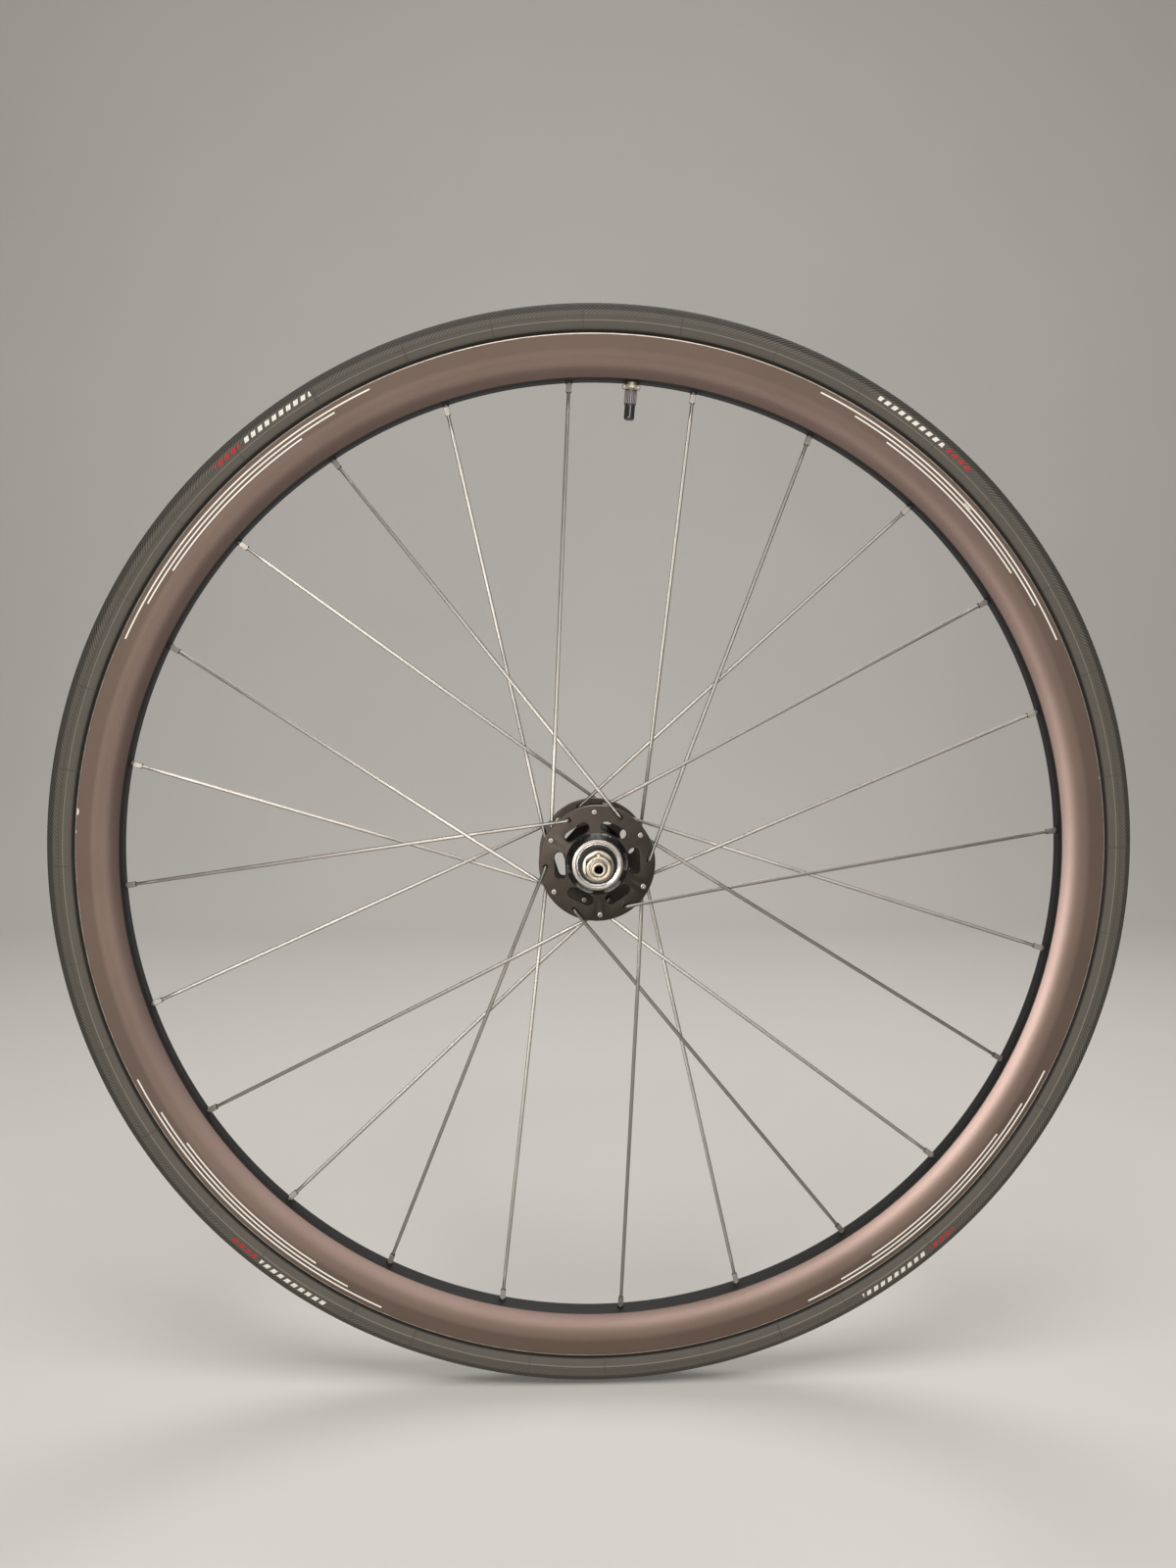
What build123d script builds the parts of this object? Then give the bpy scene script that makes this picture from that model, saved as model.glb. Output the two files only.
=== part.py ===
from build123d import *
import math
import os

# Front road wheel: hollow alloy rim, clincher tyre, two-cross bladed spokes, high-flange hub.
# Millimetres. The origin is the wheel's centre, the axle lies along Y and Z points up.
# Sections of turned pieces are drawn as (radius, place along the axle) and turned about Y.

# Rim
bead_seat_diameter = 622.0
rim_lip_height = 6.0
rim_depth = 26.0
rim_width = 24.0
rim_bed_width = 12.6
rim_inner_width = 19.0
rim_lip_undercut = 1.3
rim_shelf_width = 3.6
rim_well_depth = 3.0
rim_well_width = 9.0
rim_side_height = 11.0
rim_corner_height = 5.0
rim_corner_inset = 1.8
rim_wall = 1.1
rim_shelf_wall = 1.6
rim_bed_wall = 1.5
tape_thickness = 0.6

# Tyre and tube
tyre_height = 26.0
tyre_width = 26.4
tyre_crown_drop = 12.2
tread_bands = 7
tyre_tread_thickness = 3.4
tyre_side_thickness = 2.2
bead_width = 3.2
tube_wall = 0.9
tube_slack = 0.1

# Hub shell
flange_outer_face = 27.0
flange_thickness = 3.0
flange_diameter = 70.4
flange_edge_chamfer = 0.5
spoke_hole_edge = 4.0
boss_base_diameter = 37.6
boss_end_diameter = 30.4
end_ring_diameter = 29.2
end_ring_length = 0.8
shell_half_length = 35.0
barrel_diameter = 29.0
barrel_half_length = 15.0
window_count = 6
window_length = 16.2
window_width = 6.2
window_boss_gap = 0.5

# Bearings and axle
bearing_outer_diameter = 24.0
bearing_bore = 12.0
bearing_width = 6.0
bearing_ring_wall = 1.4
bearing_recess = 3.0
recess_diameter = 26.0
seal_thickness = 0.7
seal_clearance = 0.08
seal_inset = 0.3
axle_length = 108.0
axle_end_diameter = 9.0
axle_thread_diameter = 10.0
axle_bore = 5.0
axle_end_chamfer = 0.5
over_locknut_width = 100.0
sleeve_diameter = 15.0
collar_diameter = 19.4
collar_neck_diameter = 14.4
collar_gap = 1.4
collar_length = 4.6
locknut_flats = 15.0
locknut_face_diameter = 14.2
locknut_chamfer_length = 1.0

# Spokes and nipples
# Round wire, and every hole for it, is eight-sided, because there are so many of them.
spokes_per_side = 12
spoke_crossing_angle = 60.0
first_near_hole_angle = 3.2
side_stagger_angle = 15.0
wire_diameter = 2.0
blade_width = 2.3
blade_thickness = 1.0
blade_corner = 0.25
blade_start = 24.0
blade_end = 20.0
blade_taper = 9.0
crossing_clearance = 0.1
crossing_bend_lead = 6.0
elbow_reach = 1.8
elbow_lift = 0.4
head_diameter = 3.6
head_thickness = 1.1
spoke_hole_clearance = 0.5
nipple_flats = 3.3
nipple_neck_diameter = 4.0
nipple_head_diameter = 5.8
nipple_head_length = 2.4
nipple_flats_length = 5.4
nipple_neck_below_bed = 1.2
nipple_head_lift = 0.5
nipple_hole_clearance = 0.3
thread_clearance = 0.1
spoke_tip_beyond_bed = 2.6

# Valve
valve_angle = 85.7
valve_stem_diameter = 6.0
valve_hole_clearance = 0.4
valve_bore = 3.0
valve_stem_beyond_bed = 12.0
valve_foot_diameter = 7.2
valve_foot_thickness = 1.5
valve_core_diameter = 4.0
valve_core_depth = 5.0
valve_core_stand = 6.5
valve_core_thread_clearance = 0.1
lock_ring_diameter = 11.0
lock_ring_length = 4.4
lock_ring_nose_diameter = 8.4
lock_ring_nose_length = 1.6
lock_ring_chamfer = 0.8
cap_skirt_length = 8.2
cap_skirt_wall = 0.5
cap_tip_diameter = 6.4
cap_tip_round = 1.6
cap_step = 1.0
cap_length = 17.6
cap_clearance = 0.3
cap_mouth_gap = 0.3

# Places worked out from the sizes above
bead_seat_radius = bead_seat_diameter / 2
rim_outer_radius = bead_seat_radius + rim_lip_height
rim_bed_radius = rim_outer_radius - rim_depth
rim_half = rim_width / 2
lip_top_half = rim_inner_width / 2
lip_foot_half = lip_top_half + rim_lip_undercut
shelf_half = lip_foot_half - rim_shelf_width
well_radius = bead_seat_radius - rim_well_depth
well_half = rim_well_width / 2
bed_half = rim_bed_width / 2
rim_side_radius = rim_outer_radius - rim_side_height
rim_corner_radius = rim_bed_radius + rim_corner_height
rim_corner_half = rim_half - rim_corner_inset
tape_top_radius = well_radius + tape_thickness
tyre_radius = bead_seat_radius + tyre_height
tyre_half = tyre_width / 2
tyre_wide_radius = tyre_radius - tyre_crown_drop
bead_toe_half = lip_foot_half - bead_width
flange_inner_face = flange_outer_face - flange_thickness
bearing_outer_face = shell_half_length - bearing_recess
bearing_inner_face = bearing_outer_face - bearing_width
axle_shoulder = shell_half_length
collar_inner_face = shell_half_length + collar_gap
collar_outer_face = collar_inner_face + collar_length
locknut_face = over_locknut_width / 2
hole_circle_radius = flange_diameter / 2 - spoke_hole_edge
window_circle_radius = boss_base_diameter / 2 + window_boss_gap + window_width / 2
hole_pitch = 360.0 / spokes_per_side
spoke_hole_diameter = wire_diameter + spoke_hole_clearance
nipple_bore_diameter = wire_diameter + thread_clearance
elbow_outer_face = flange_outer_face + elbow_lift + elbow_reach
elbow_inner_face = flange_inner_face - elbow_lift - elbow_reach
lock_ring_seat = rim_bed_radius - math.sqrt(rim_bed_radius**2 - (lock_ring_nose_diameter / 2) ** 2)


def mirrored(points):
    """Continue an outline drawn on the +Y half back along the -Y half."""
    return points + [(r, -y) for r, y in reversed(points)]


def turned(points):
    """Turn a closed (radius, place) outline once round the axle."""
    return revolve(make_face(Polyline(*points, close=True)), Axis.Y)


def ring(inner_radius, outer_radius, start, end):
    """A plain ring round the axle."""
    return turned([(inner_radius, start), (outer_radius, start), (outer_radius, end), (inner_radius, end)])


def on_side(solid, side):
    """A piece drawn on the +Y side, put on the side asked for."""
    return solid if side > 0 else mirror(solid, Plane.XZ)


def eight_sided(width, height, corner):
    """A rectangle with its corners cut off."""
    half_width = width / 2
    half_height = height / 2
    quarter = [(half_width, half_height - corner), (half_width - corner, half_height)]
    top = quarter + [(-x, y) for x, y in reversed(quarter)]
    return make_face(Polyline(*top, *[(-x, -y) for x, y in top], close=True))


def round_wire(diameter):
    """The section of a round wire, with the wire's diameter across its flats."""
    return eight_sided(diameter, diameter, diameter * (1 - math.sqrt(0.5)))


def wire_hole(diameter, depth):
    """A cutter for a hole that takes round wire, standing on its own plane."""
    return extrude(round_wire(diameter), depth)


def spoke_angles(outer, side):
    """Hole and rim angles of the spokes of one kind on one side."""
    first = first_near_hole_angle if side < 0 else first_near_hole_angle + side_stagger_angle
    first += 0 if outer else hole_pitch
    turn = spoke_crossing_angle if outer else -spoke_crossing_angle
    count = spokes_per_side // 2
    return [(first + 2 * hole_pitch * i, first + 2 * hole_pitch * i + turn) for i in range(count)]


def at_angle(radius, angle):
    """A point of the wheel's middle plane."""
    return Vector(radius * math.cos(math.radians(angle)), 0, radius * math.sin(math.radians(angle)))


# The line of a spoke, seen along the wheel's middle plane from the hole (0) to the rim bed (span)
hole_point = at_angle(hole_circle_radius, 0)
bed_point = at_angle(rim_bed_radius, spoke_crossing_angle)
spoke_span = (bed_point - hole_point).length
run_turn = math.radians(hole_point.get_angle(bed_point - hole_point))
crossing_angle = math.radians(3 * hole_pitch / 2)
crossing_reach = hole_circle_radius * math.sin(crossing_angle) / math.sin(run_turn - crossing_angle)


def straight_height(elbow_face):
    """Distance from the middle plane at the crossing, if the spoke were straight."""
    return elbow_face * (spoke_span - crossing_reach) / (spoke_span - elbow_reach)


crossing_height = (straight_height(elbow_outer_face) + straight_height(elbow_inner_face)) / 2
crossing_step = (blade_thickness + crossing_clearance) / 2


def spoke_plane(hole_angle, rim_angle, side):
    """Plane of one spoke: x along its run to the rim, y along the axle away from the middle."""
    start = at_angle(hole_circle_radius, hole_angle)
    along = (at_angle(rim_bed_radius, rim_angle) - start).normalized()
    outward = Vector(0, side, 0)
    return Plane(origin=start, x_dir=along, z_dir=along.cross(outward))


def bend_place(outer):
    """Place of the slight bend short of the last crossing, where the outer spoke dives under the inner one."""
    height = crossing_height + (-crossing_step if outer else crossing_step)
    reach = crossing_reach - crossing_bend_lead
    return Vector(reach, height * (spoke_span - reach) / (spoke_span - crossing_reach), 0)


def along_run(start, end, distance):
    """Plane across a straight run, at a distance from its start, with local y across the wire."""
    direction = (end - start).normalized()
    return Plane(origin=start + direction * distance, x_dir=(0, 0, 1), z_dir=direction)


def make_spoke(outer):
    """One spoke in its own plane: head, elbow, round end, blade with a slight bend, round tip."""
    elbow_face = elbow_outer_face if outer else elbow_inner_face
    seat_face = flange_inner_face if outer else flange_outer_face
    bend_face = flange_outer_face if outer else flange_inner_face
    away = 1 if outer else -1
    bend = bend_place(outer)
    head_top = Vector(0, seat_face - away * head_thickness, 0)
    elbow_start = Vector(0, bend_face + away * elbow_lift, 0)
    elbow_end = Vector(elbow_reach, elbow_face, 0)
    bed = Vector(spoke_span, 0, 0)
    to_bed = (bed - bend).length
    wire = round_wire(wire_diameter)
    blade = eight_sided(blade_width, blade_thickness, blade_corner)
    head_plane = along_run(head_top, elbow_start, 0)
    head = extrude(head_plane * round_wire(head_diameter), head_thickness)
    shank_path = Polyline(head_top, elbow_start, elbow_end, along_run(elbow_end, bend, elbow_reach).origin)
    shank = sweep(head_plane * wire, shank_path, transition=Transition.RIGHT)
    taper_start = along_run(elbow_end, bend, elbow_reach)
    taper_end = along_run(elbow_end, bend, blade_start)
    taper = loft([taper_start * wire, taper_end * blade], ruled=True)
    blade_path = Polyline(taper_end.origin, bend, bed - (bed - bend).normalized() * blade_end)
    flat = sweep(taper_end * blade, blade_path, transition=Transition.RIGHT)
    blade_stop = along_run(bend, bed, to_bed - blade_end)
    tip_start = along_run(bend, bed, to_bed - blade_end + blade_taper)
    tip_taper = loft([blade_stop * blade, tip_start * wire], ruled=True)
    tip = extrude(tip_start * wire, blade_end - blade_taper + spoke_tip_beyond_bed)
    return head + shank + taper + flat + tip_taper + tip


def make_nipple():
    """One nipple on its own axis: z runs out through the rim and 0 is at the rim bed."""
    flats_start = -nipple_neck_below_bed - nipple_flats_length
    head_start = rim_bed_wall + nipple_head_lift
    flats = Pos(0, 0, flats_start) * extrude(Rectangle(nipple_flats, nipple_flats), nipple_flats_length)
    neck = Pos(0, 0, -nipple_neck_below_bed) * extrude(
        round_wire(nipple_neck_diameter), nipple_neck_below_bed + head_start)
    head = Pos(0, 0, head_start) * extrude(round_wire(nipple_head_diameter), nipple_head_length, taper=12)
    bore = Pos(0, 0, flats_start) * wire_hole(
        nipple_bore_diameter, nipple_flats_length + nipple_neck_below_bed + spoke_tip_beyond_bed + thread_clearance)
    return flats + neck + head - bore


def nipple_plane(hole_angle, rim_angle, outer, side):
    """Plane at the rim bed with z along the spoke, out through the rim."""
    frame = spoke_plane(hole_angle, rim_angle, side)
    direction = frame.from_local_coords(Vector(spoke_span, 0, 0)) - frame.from_local_coords(bend_place(outer))
    return Plane(origin=at_angle(rim_bed_radius, rim_angle), x_dir=frame.z_dir, z_dir=direction)


def make_valve(places):
    """Turn a (radius, height) outline round the valve's axis; heights run from the rim bed to the hub."""
    profile = make_face(Polyline(*places, close=True))
    upright = revolve(profile, Axis.Y)
    axis_point = at_angle(rim_bed_radius, valve_angle)
    inward = at_angle(-1, valve_angle)
    frame = Plane(origin=axis_point, x_dir=(0, 1, 0), z_dir=inward)
    return frame * (Rot(90, 0, 0) * upright)


def make_rim():
    """Hollow rim, with a hole along every spoke through its bed and one for the valve."""
    outline = mirrored([
        (rim_outer_radius, lip_top_half),
        (rim_outer_radius, rim_half),
        (rim_side_radius, rim_half),
        (rim_corner_radius, rim_corner_half),
        (rim_bed_radius, bed_half),
    ])
    channel = mirrored([
        (rim_outer_radius, lip_top_half),
        (bead_seat_radius, lip_foot_half),
        (bead_seat_radius, shelf_half),
        (well_radius, well_half),
    ])
    chamber = mirrored([
        (well_radius - rim_wall, well_half),
        (bead_seat_radius - rim_shelf_wall, rim_half - rim_wall),
        (rim_corner_radius + rim_wall / 2, rim_corner_half - rim_wall),
        (rim_bed_radius + rim_bed_wall, bed_half - rim_wall / 2),
    ])
    rim = turned(outline) - turned(channel) - turned(chamber)
    drill = wire_hole(nipple_neck_diameter + nipple_hole_clearance, 2 * rim_bed_wall + nipple_neck_below_bed)
    drills = [nipple_plane(*place) * Pos(0, 0, -nipple_neck_below_bed) * drill for place in spoke_places()]
    valve_hole = make_valve([
        (0, 2 * nipple_neck_below_bed),
        (valve_stem_diameter / 2 + valve_hole_clearance, 2 * nipple_neck_below_bed),
        (valve_stem_diameter / 2 + valve_hole_clearance, rim_bed_radius - bead_seat_radius),
        (0, rim_bed_radius - bead_seat_radius),
    ])
    return rim - drills - valve_hole


def spoke_places():
    """Hole angle, rim angle, kind and side of every spoke."""
    return [(hole, bed, outer, side) for side in (-1, 1) for outer in (True, False)
            for hole, bed in spoke_angles(outer, side)]


def make_tape():
    """Band over the floor of the rim's well, with a hole for the valve."""
    band = ring(well_radius, tape_top_radius, -well_half, well_half)
    return band - make_valve_shaft(valve_stem_diameter / 2 + valve_hole_clearance)


def make_valve_shaft(radius):
    """A round cutter along the valve, from the hub side of the bed to the tread."""
    return make_valve([
        (0, 0),
        (radius, 0),
        (radius, rim_bed_radius - tyre_wide_radius),
        (0, rim_bed_radius - tyre_wide_radius),
    ])


def casing_inside():
    """Inside outline of the tyre's casing on the +Y half, from the bead's toe to the crown."""
    return [
        (bead_seat_radius, bead_toe_half),
        (tyre_wide_radius - tyre_side_thickness, tyre_half - tyre_side_thickness),
        (tyre_radius - tyre_tread_thickness, tyre_half / 3),
    ]


def tread_outline():
    """Outside of the tread on the +Y half: flat bands that touch one arc, from the crown outwards."""
    arc_radius = (tyre_crown_drop**2 + tyre_half**2) / 2 / tyre_crown_drop
    arc_centre = tyre_radius - arc_radius
    band_turn = 2 * math.atan2(tyre_half, tyre_wide_radius - arc_centre) / tread_bands
    corner_radius = arc_radius / math.cos(band_turn / 2)
    turns = [band_turn * (i + 0.5) for i in range(tread_bands // 2)]
    return [(arc_centre + corner_radius * math.cos(turn), corner_radius * math.sin(turn)) for turn in turns]


def make_tyre():
    """Tyre with its beads against the lips of the rim."""
    inside = casing_inside()
    wall = [
        (rim_outer_radius, lip_top_half),
        (bead_seat_radius, lip_foot_half),
    ]
    return turned(mirrored(tread_outline() + [(tyre_wide_radius, tyre_half)] + wall + inside))


def make_tube():
    """Inflated inner tube between the tyre's casing and the tape, with the valve's hole."""
    casing = mirrored(casing_inside()[1:])
    floor = mirrored([(tape_top_radius, well_half)])
    outline = make_face(Polyline(*casing, *reversed(floor), close=True))
    outside = offset(outline, -tube_slack, kind=Kind.INTERSECTION)
    inside = offset(outline, -tube_slack - tube_wall, kind=Kind.INTERSECTION)
    return revolve(outside - inside, Axis.Y) - make_valve_shaft(valve_stem_diameter / 2)


def make_hub_shell():
    """High-flange shell with oval windows, spoke holes and a bearing seat in each end."""
    outline = mirrored([
        (bearing_outer_diameter / 2, shell_half_length),
        (end_ring_diameter / 2, shell_half_length),
        (end_ring_diameter / 2, shell_half_length - end_ring_length),
        (boss_end_diameter / 2, shell_half_length - end_ring_length),
        (boss_base_diameter / 2, flange_outer_face),
        (flange_diameter / 2 - flange_edge_chamfer, flange_outer_face),
        (flange_diameter / 2, flange_outer_face - flange_edge_chamfer),
        (flange_diameter / 2, flange_inner_face),
        (boss_base_diameter / 2, flange_inner_face),
        (barrel_diameter / 2, barrel_half_length),
    ])
    shell = turned(outline)
    shell -= ring(0, bearing_outer_diameter / 2 - bearing_ring_wall, -bearing_inner_face, bearing_inner_face)
    for side in (-1, 1):
        shell -= on_side(ring(0, bearing_outer_diameter / 2, bearing_inner_face, bearing_outer_face), side)
        shell -= on_side(ring(0, recess_diameter / 2, bearing_outer_face, shell_half_length), side)
        shell -= on_side(flange_cutters(side), side)
    return shell


def flange_cutters(side):
    """Windows and spoke holes of one flange, drawn on the +Y side."""
    first = first_near_hole_angle if side < 0 else first_near_hole_angle + side_stagger_angle
    start = flange_inner_face - flange_thickness
    end = flange_outer_face + flange_thickness
    face = Plane(origin=(0, start, 0), x_dir=(1, 0, 0), z_dir=(0, 1, 0))
    slot = Pos(window_circle_radius, 0) * Rot(0, 0, 90) * SlotOverall(window_length, window_width)
    hole = Pos(hole_circle_radius, 0) * round_wire(spoke_hole_diameter)
    windows = [Rot(0, 0, -first - 360.0 / window_count * i) * slot for i in range(window_count)]
    holes = [Rot(0, 0, -first - hole_pitch * i) * hole for i in range(spokes_per_side)]
    return extrude(face * Sketch(children=windows + holes), end - start)


def make_axle():
    """Hollow axle: thick under the bearings, threaded under the nuts, thin at the ends for the fork."""
    half = axle_length / 2
    end_radius = axle_end_diameter / 2
    return turned(mirrored([
        (axle_bore / 2, half),
        (end_radius - axle_end_chamfer, half),
        (end_radius, half - axle_end_chamfer),
        (end_radius, locknut_face),
        (axle_thread_diameter / 2, locknut_face),
        (axle_thread_diameter / 2, axle_shoulder),
        (bearing_bore / 2, axle_shoulder),
    ]))


def make_collar():
    """Round collar between the bearing's inner ring and the locknut."""
    return turned([
        (bearing_bore / 2, bearing_outer_face),
        (collar_neck_diameter / 2, bearing_outer_face),
        (collar_neck_diameter / 2, collar_inner_face),
        (collar_diameter / 2, collar_inner_face),
        (collar_diameter / 2, collar_outer_face),
        (axle_thread_diameter / 2, collar_outer_face),
        (axle_thread_diameter / 2, axle_shoulder),
        (bearing_bore / 2, axle_shoulder),
    ])


def make_locknut():
    """Hexagonal locknut with a corner up, turned round at its outer face."""
    flats_plane = Plane(origin=(0, collar_outer_face, 0), x_dir=(0, 0, 1), z_dir=(0, 1, 0))
    hexagon = RegularPolygon(locknut_flats / 2, 6, major_radius=False)
    nut = extrude(flats_plane * hexagon, locknut_face - collar_outer_face)
    corner_radius = locknut_flats / math.sqrt(3)
    turned_face = turned([
        (0, collar_outer_face),
        (corner_radius, collar_outer_face),
        (corner_radius, locknut_face - locknut_chamfer_length),
        (locknut_face_diameter / 2, locknut_face),
        (0, locknut_face),
    ])
    return (nut & turned_face) - ring(0, axle_thread_diameter / 2, collar_outer_face, locknut_face)


def bearing_pieces():
    """The pieces of one cartridge bearing on the +Y side, by name."""
    outer_wall = bearing_outer_diameter / 2 - bearing_ring_wall
    inner_wall = bearing_bore / 2 + bearing_ring_wall
    outside = bearing_outer_face - seal_inset
    inside = bearing_inner_face + seal_inset
    return {
        "bearing_outer_ring": ring(outer_wall, bearing_outer_diameter / 2, bearing_inner_face, bearing_outer_face),
        "bearing_inner_ring": ring(bearing_bore / 2, inner_wall, bearing_inner_face, bearing_outer_face),
        "bearing_outer_seal": ring(inner_wall + seal_clearance, outer_wall, outside - seal_thickness, outside),
        "bearing_inner_seal": ring(inner_wall + seal_clearance, outer_wall, inside, inside + seal_thickness),
    }


def make_valve_stem():
    """Valve stem with its foot bonded inside the tube; heights run from the bed towards the hub."""
    stem_radius = valve_stem_diameter / 2
    foot = rim_bed_radius - tape_top_radius - tube_wall - tube_slack
    return make_valve([
        (valve_bore / 2, valve_stem_beyond_bed),
        (stem_radius, valve_stem_beyond_bed),
        (stem_radius, foot),
        (valve_foot_diameter / 2, foot),
        (valve_foot_diameter / 2, foot - valve_foot_thickness),
        (valve_bore / 2, foot - valve_foot_thickness),
    ])


def make_valve_core():
    """Core screwed into the end of the stem, with its small nut standing out under the cap."""
    seat_radius = valve_bore / 2 - valve_core_thread_clearance / 2
    start = valve_stem_beyond_bed - valve_core_depth
    end = valve_stem_beyond_bed + valve_core_stand
    return make_valve([
        (0, start),
        (seat_radius, start),
        (seat_radius, valve_stem_beyond_bed),
        (valve_core_diameter / 2, valve_stem_beyond_bed),
        (valve_core_diameter / 2, end),
        (0, end),
    ])


def make_lock_ring():
    """Ring screwed down the stem, with a narrow nose against the rim bed."""
    hole_radius = (valve_stem_diameter + thread_clearance) / 2
    return make_valve([
        (hole_radius, lock_ring_seat),
        (lock_ring_nose_diameter / 2, lock_ring_seat),
        (lock_ring_nose_diameter / 2, lock_ring_nose_length),
        (lock_ring_diameter / 2, lock_ring_nose_length),
        (lock_ring_diameter / 2, lock_ring_length - lock_ring_chamfer),
        (lock_ring_diameter / 2 - lock_ring_chamfer, lock_ring_length),
        (hole_radius, lock_ring_length),
    ])


def make_valve_cap():
    """Plastic cap over stem and core: a wide skirt towards the rim, then a narrower rounded tip."""
    start = lock_ring_length + cap_mouth_gap
    end = start + cap_length
    skirt_end = start + cap_skirt_length
    mouth_radius = valve_stem_diameter / 2 + cap_clearance
    tip_radius = cap_tip_diameter / 2
    bore_radius = valve_core_diameter / 2 + cap_clearance
    bore_step = valve_stem_beyond_bed + cap_clearance
    bore_end = valve_stem_beyond_bed + valve_core_stand + cap_clearance
    return make_valve([
        (mouth_radius, start),
        (mouth_radius + cap_skirt_wall, start),
        (mouth_radius + cap_skirt_wall, skirt_end),
        (tip_radius, skirt_end + cap_step),
        (tip_radius, end - cap_tip_round),
        (tip_radius - cap_tip_round, end),
        (0, end),
        (0, bore_end),
        (bore_radius, bore_end),
        (bore_radius, bore_step),
        (mouth_radius, bore_step),
    ])


def main():
    os.makedirs("parts", exist_ok=True)
    pieces = {
        "rim": make_rim(),
        "rim_tape": make_tape(),
        "tyre": make_tyre(),
        "inner_tube": make_tube(),
        "hub_shell": make_hub_shell(),
        "axle": make_axle(),
        "axle_sleeve": ring(bearing_bore / 2, sleeve_diameter / 2, -bearing_inner_face, bearing_inner_face),
        "valve_stem": make_valve_stem(),
        "valve_core": make_valve_core(),
        "valve_lock_ring": make_lock_ring(),
        "valve_cap": make_valve_cap(),
    }
    for side, side_name in ((-1, "left"), (1, "right")):
        for name, solid in bearing_pieces().items():
            pieces[f"{name}_{side_name}"] = on_side(solid, side)
        pieces[f"axle_collar_{side_name}"] = on_side(make_collar(), side)
        pieces[f"locknut_{side_name}"] = on_side(make_locknut(), side)

    nipple = make_nipple()
    spokes = {outer: make_spoke(outer) for outer in (True, False)}
    nipples = []
    for number, (hole, bed, outer, side) in enumerate(spoke_places()):
        side_name = "left" if side < 0 else "right"
        kind = "outer" if outer else "inner"
        place = number % (spokes_per_side // 2) + 1
        frame = spoke_plane(hole, bed, side)
        pieces[f"spoke_{side_name}_{kind}_{place}"] = frame * spokes[outer]
        nipples.append(nipple_plane(hole, bed, outer, side) * nipple)
    pieces["nipples"] = Compound(children=nipples)

    for name, solid in pieces.items():
        export_step(solid, os.path.join("parts", f"{name}.step"))


main()
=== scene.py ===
import math

import bmesh
import bpy
from mathutils import Matrix, Vector


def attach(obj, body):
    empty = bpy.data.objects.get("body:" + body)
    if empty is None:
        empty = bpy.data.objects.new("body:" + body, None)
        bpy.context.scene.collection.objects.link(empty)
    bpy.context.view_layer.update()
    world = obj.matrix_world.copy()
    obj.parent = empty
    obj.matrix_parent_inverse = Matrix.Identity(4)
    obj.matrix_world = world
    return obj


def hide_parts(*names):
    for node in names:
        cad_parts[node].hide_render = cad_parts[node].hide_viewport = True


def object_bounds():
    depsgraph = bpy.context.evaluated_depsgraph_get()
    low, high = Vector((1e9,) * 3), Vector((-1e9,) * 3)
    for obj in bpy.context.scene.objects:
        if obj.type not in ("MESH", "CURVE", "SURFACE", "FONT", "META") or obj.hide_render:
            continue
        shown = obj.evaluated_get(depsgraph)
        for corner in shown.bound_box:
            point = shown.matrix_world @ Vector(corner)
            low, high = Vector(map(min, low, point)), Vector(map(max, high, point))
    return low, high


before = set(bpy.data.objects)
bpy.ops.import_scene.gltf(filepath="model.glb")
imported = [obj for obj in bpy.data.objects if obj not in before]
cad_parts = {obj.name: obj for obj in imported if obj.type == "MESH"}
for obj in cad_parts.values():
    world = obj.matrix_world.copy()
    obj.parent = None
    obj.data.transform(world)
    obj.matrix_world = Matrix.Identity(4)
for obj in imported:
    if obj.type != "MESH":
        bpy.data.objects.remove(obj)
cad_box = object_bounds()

bl_info = {
    "name": "Laced road wheel",
    "version": (1, 0, 0),
    "blender": (4, 5, 0),
    "location": "View3D > Sidebar > Wheel",
    "description": "Gives the packed bicycle wheel its fine shapes and finishes",
    "category": "Add Mesh",
}

# Sizes are millimetres and angles degrees; radii are measured from the axle, places along it from the middle
mm = 0.001
full_turn = 2 * math.pi

# Rim and tyre
rim_outer_radius = 317.0
rim_bed_radius = 291.0
rim_half = 12.0
rim_track_radius = 307.5
rim_flank_power = 1.5
rim_bed_half = 6.3
rim_edge_radius = 292.0
rim_bed_flat_half = 3.2
bead_seat_radius = 311.0
lip_top_half = 9.5
lip_foot_half = 10.8
rim_shelf_half = 7.2
rim_well_radius = 308.0
rim_well_half = 4.5
tread_arc_radius = 13.24
tread_arc_centre = 323.76
rib_radius = 323.7
rib_half = 13.14
wall_top_half = 13.05
wall_lean = 0.09
wall_curve = 0.028
tyre_half = 13.2
crown_half = 4.0
tread_edge_radius = 329.5
tyre_gap_radius = 319.0
seams_per_radian = 5.73

# Foot of the tyre's section, down into the rim and back up the inside: radius, half width
tyre_foot = [
    (319.1, 11.7), (318.7, 11.1), (318.2, 10.3), (317.6, 9.6), (316.9, 9.35), (315.0, 9.7),
    (311.6, 10.5), (311.2, 10.1), (311.1, 7.7), (322.6, 11.0), (329.0, 8.6), (333.6, 4.4),
]

# Chips and scratches of the near rim wall: degrees round the wheel, radius, half length, half height
chips = (
    (174.4, 316.2, 2.1, 1.2),
    (176.6, 316.6, 1.2, 0.8),
    (235.8, 316.5, 1.0, 0.7),
    (265.2, 316.3, 1.6, 0.9),
    (9.1, 316.5, 1.1, 0.7),
    (259.4, 311.6, 0.8, 0.5),
    (43.7, 312.0, 3.2, 0.35),
)

# Pinstripes of the rim wall: radius, half span in radians
stripes = ((313.4, 0.34), (310.9, 0.26), (308.4, 0.18))

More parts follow.
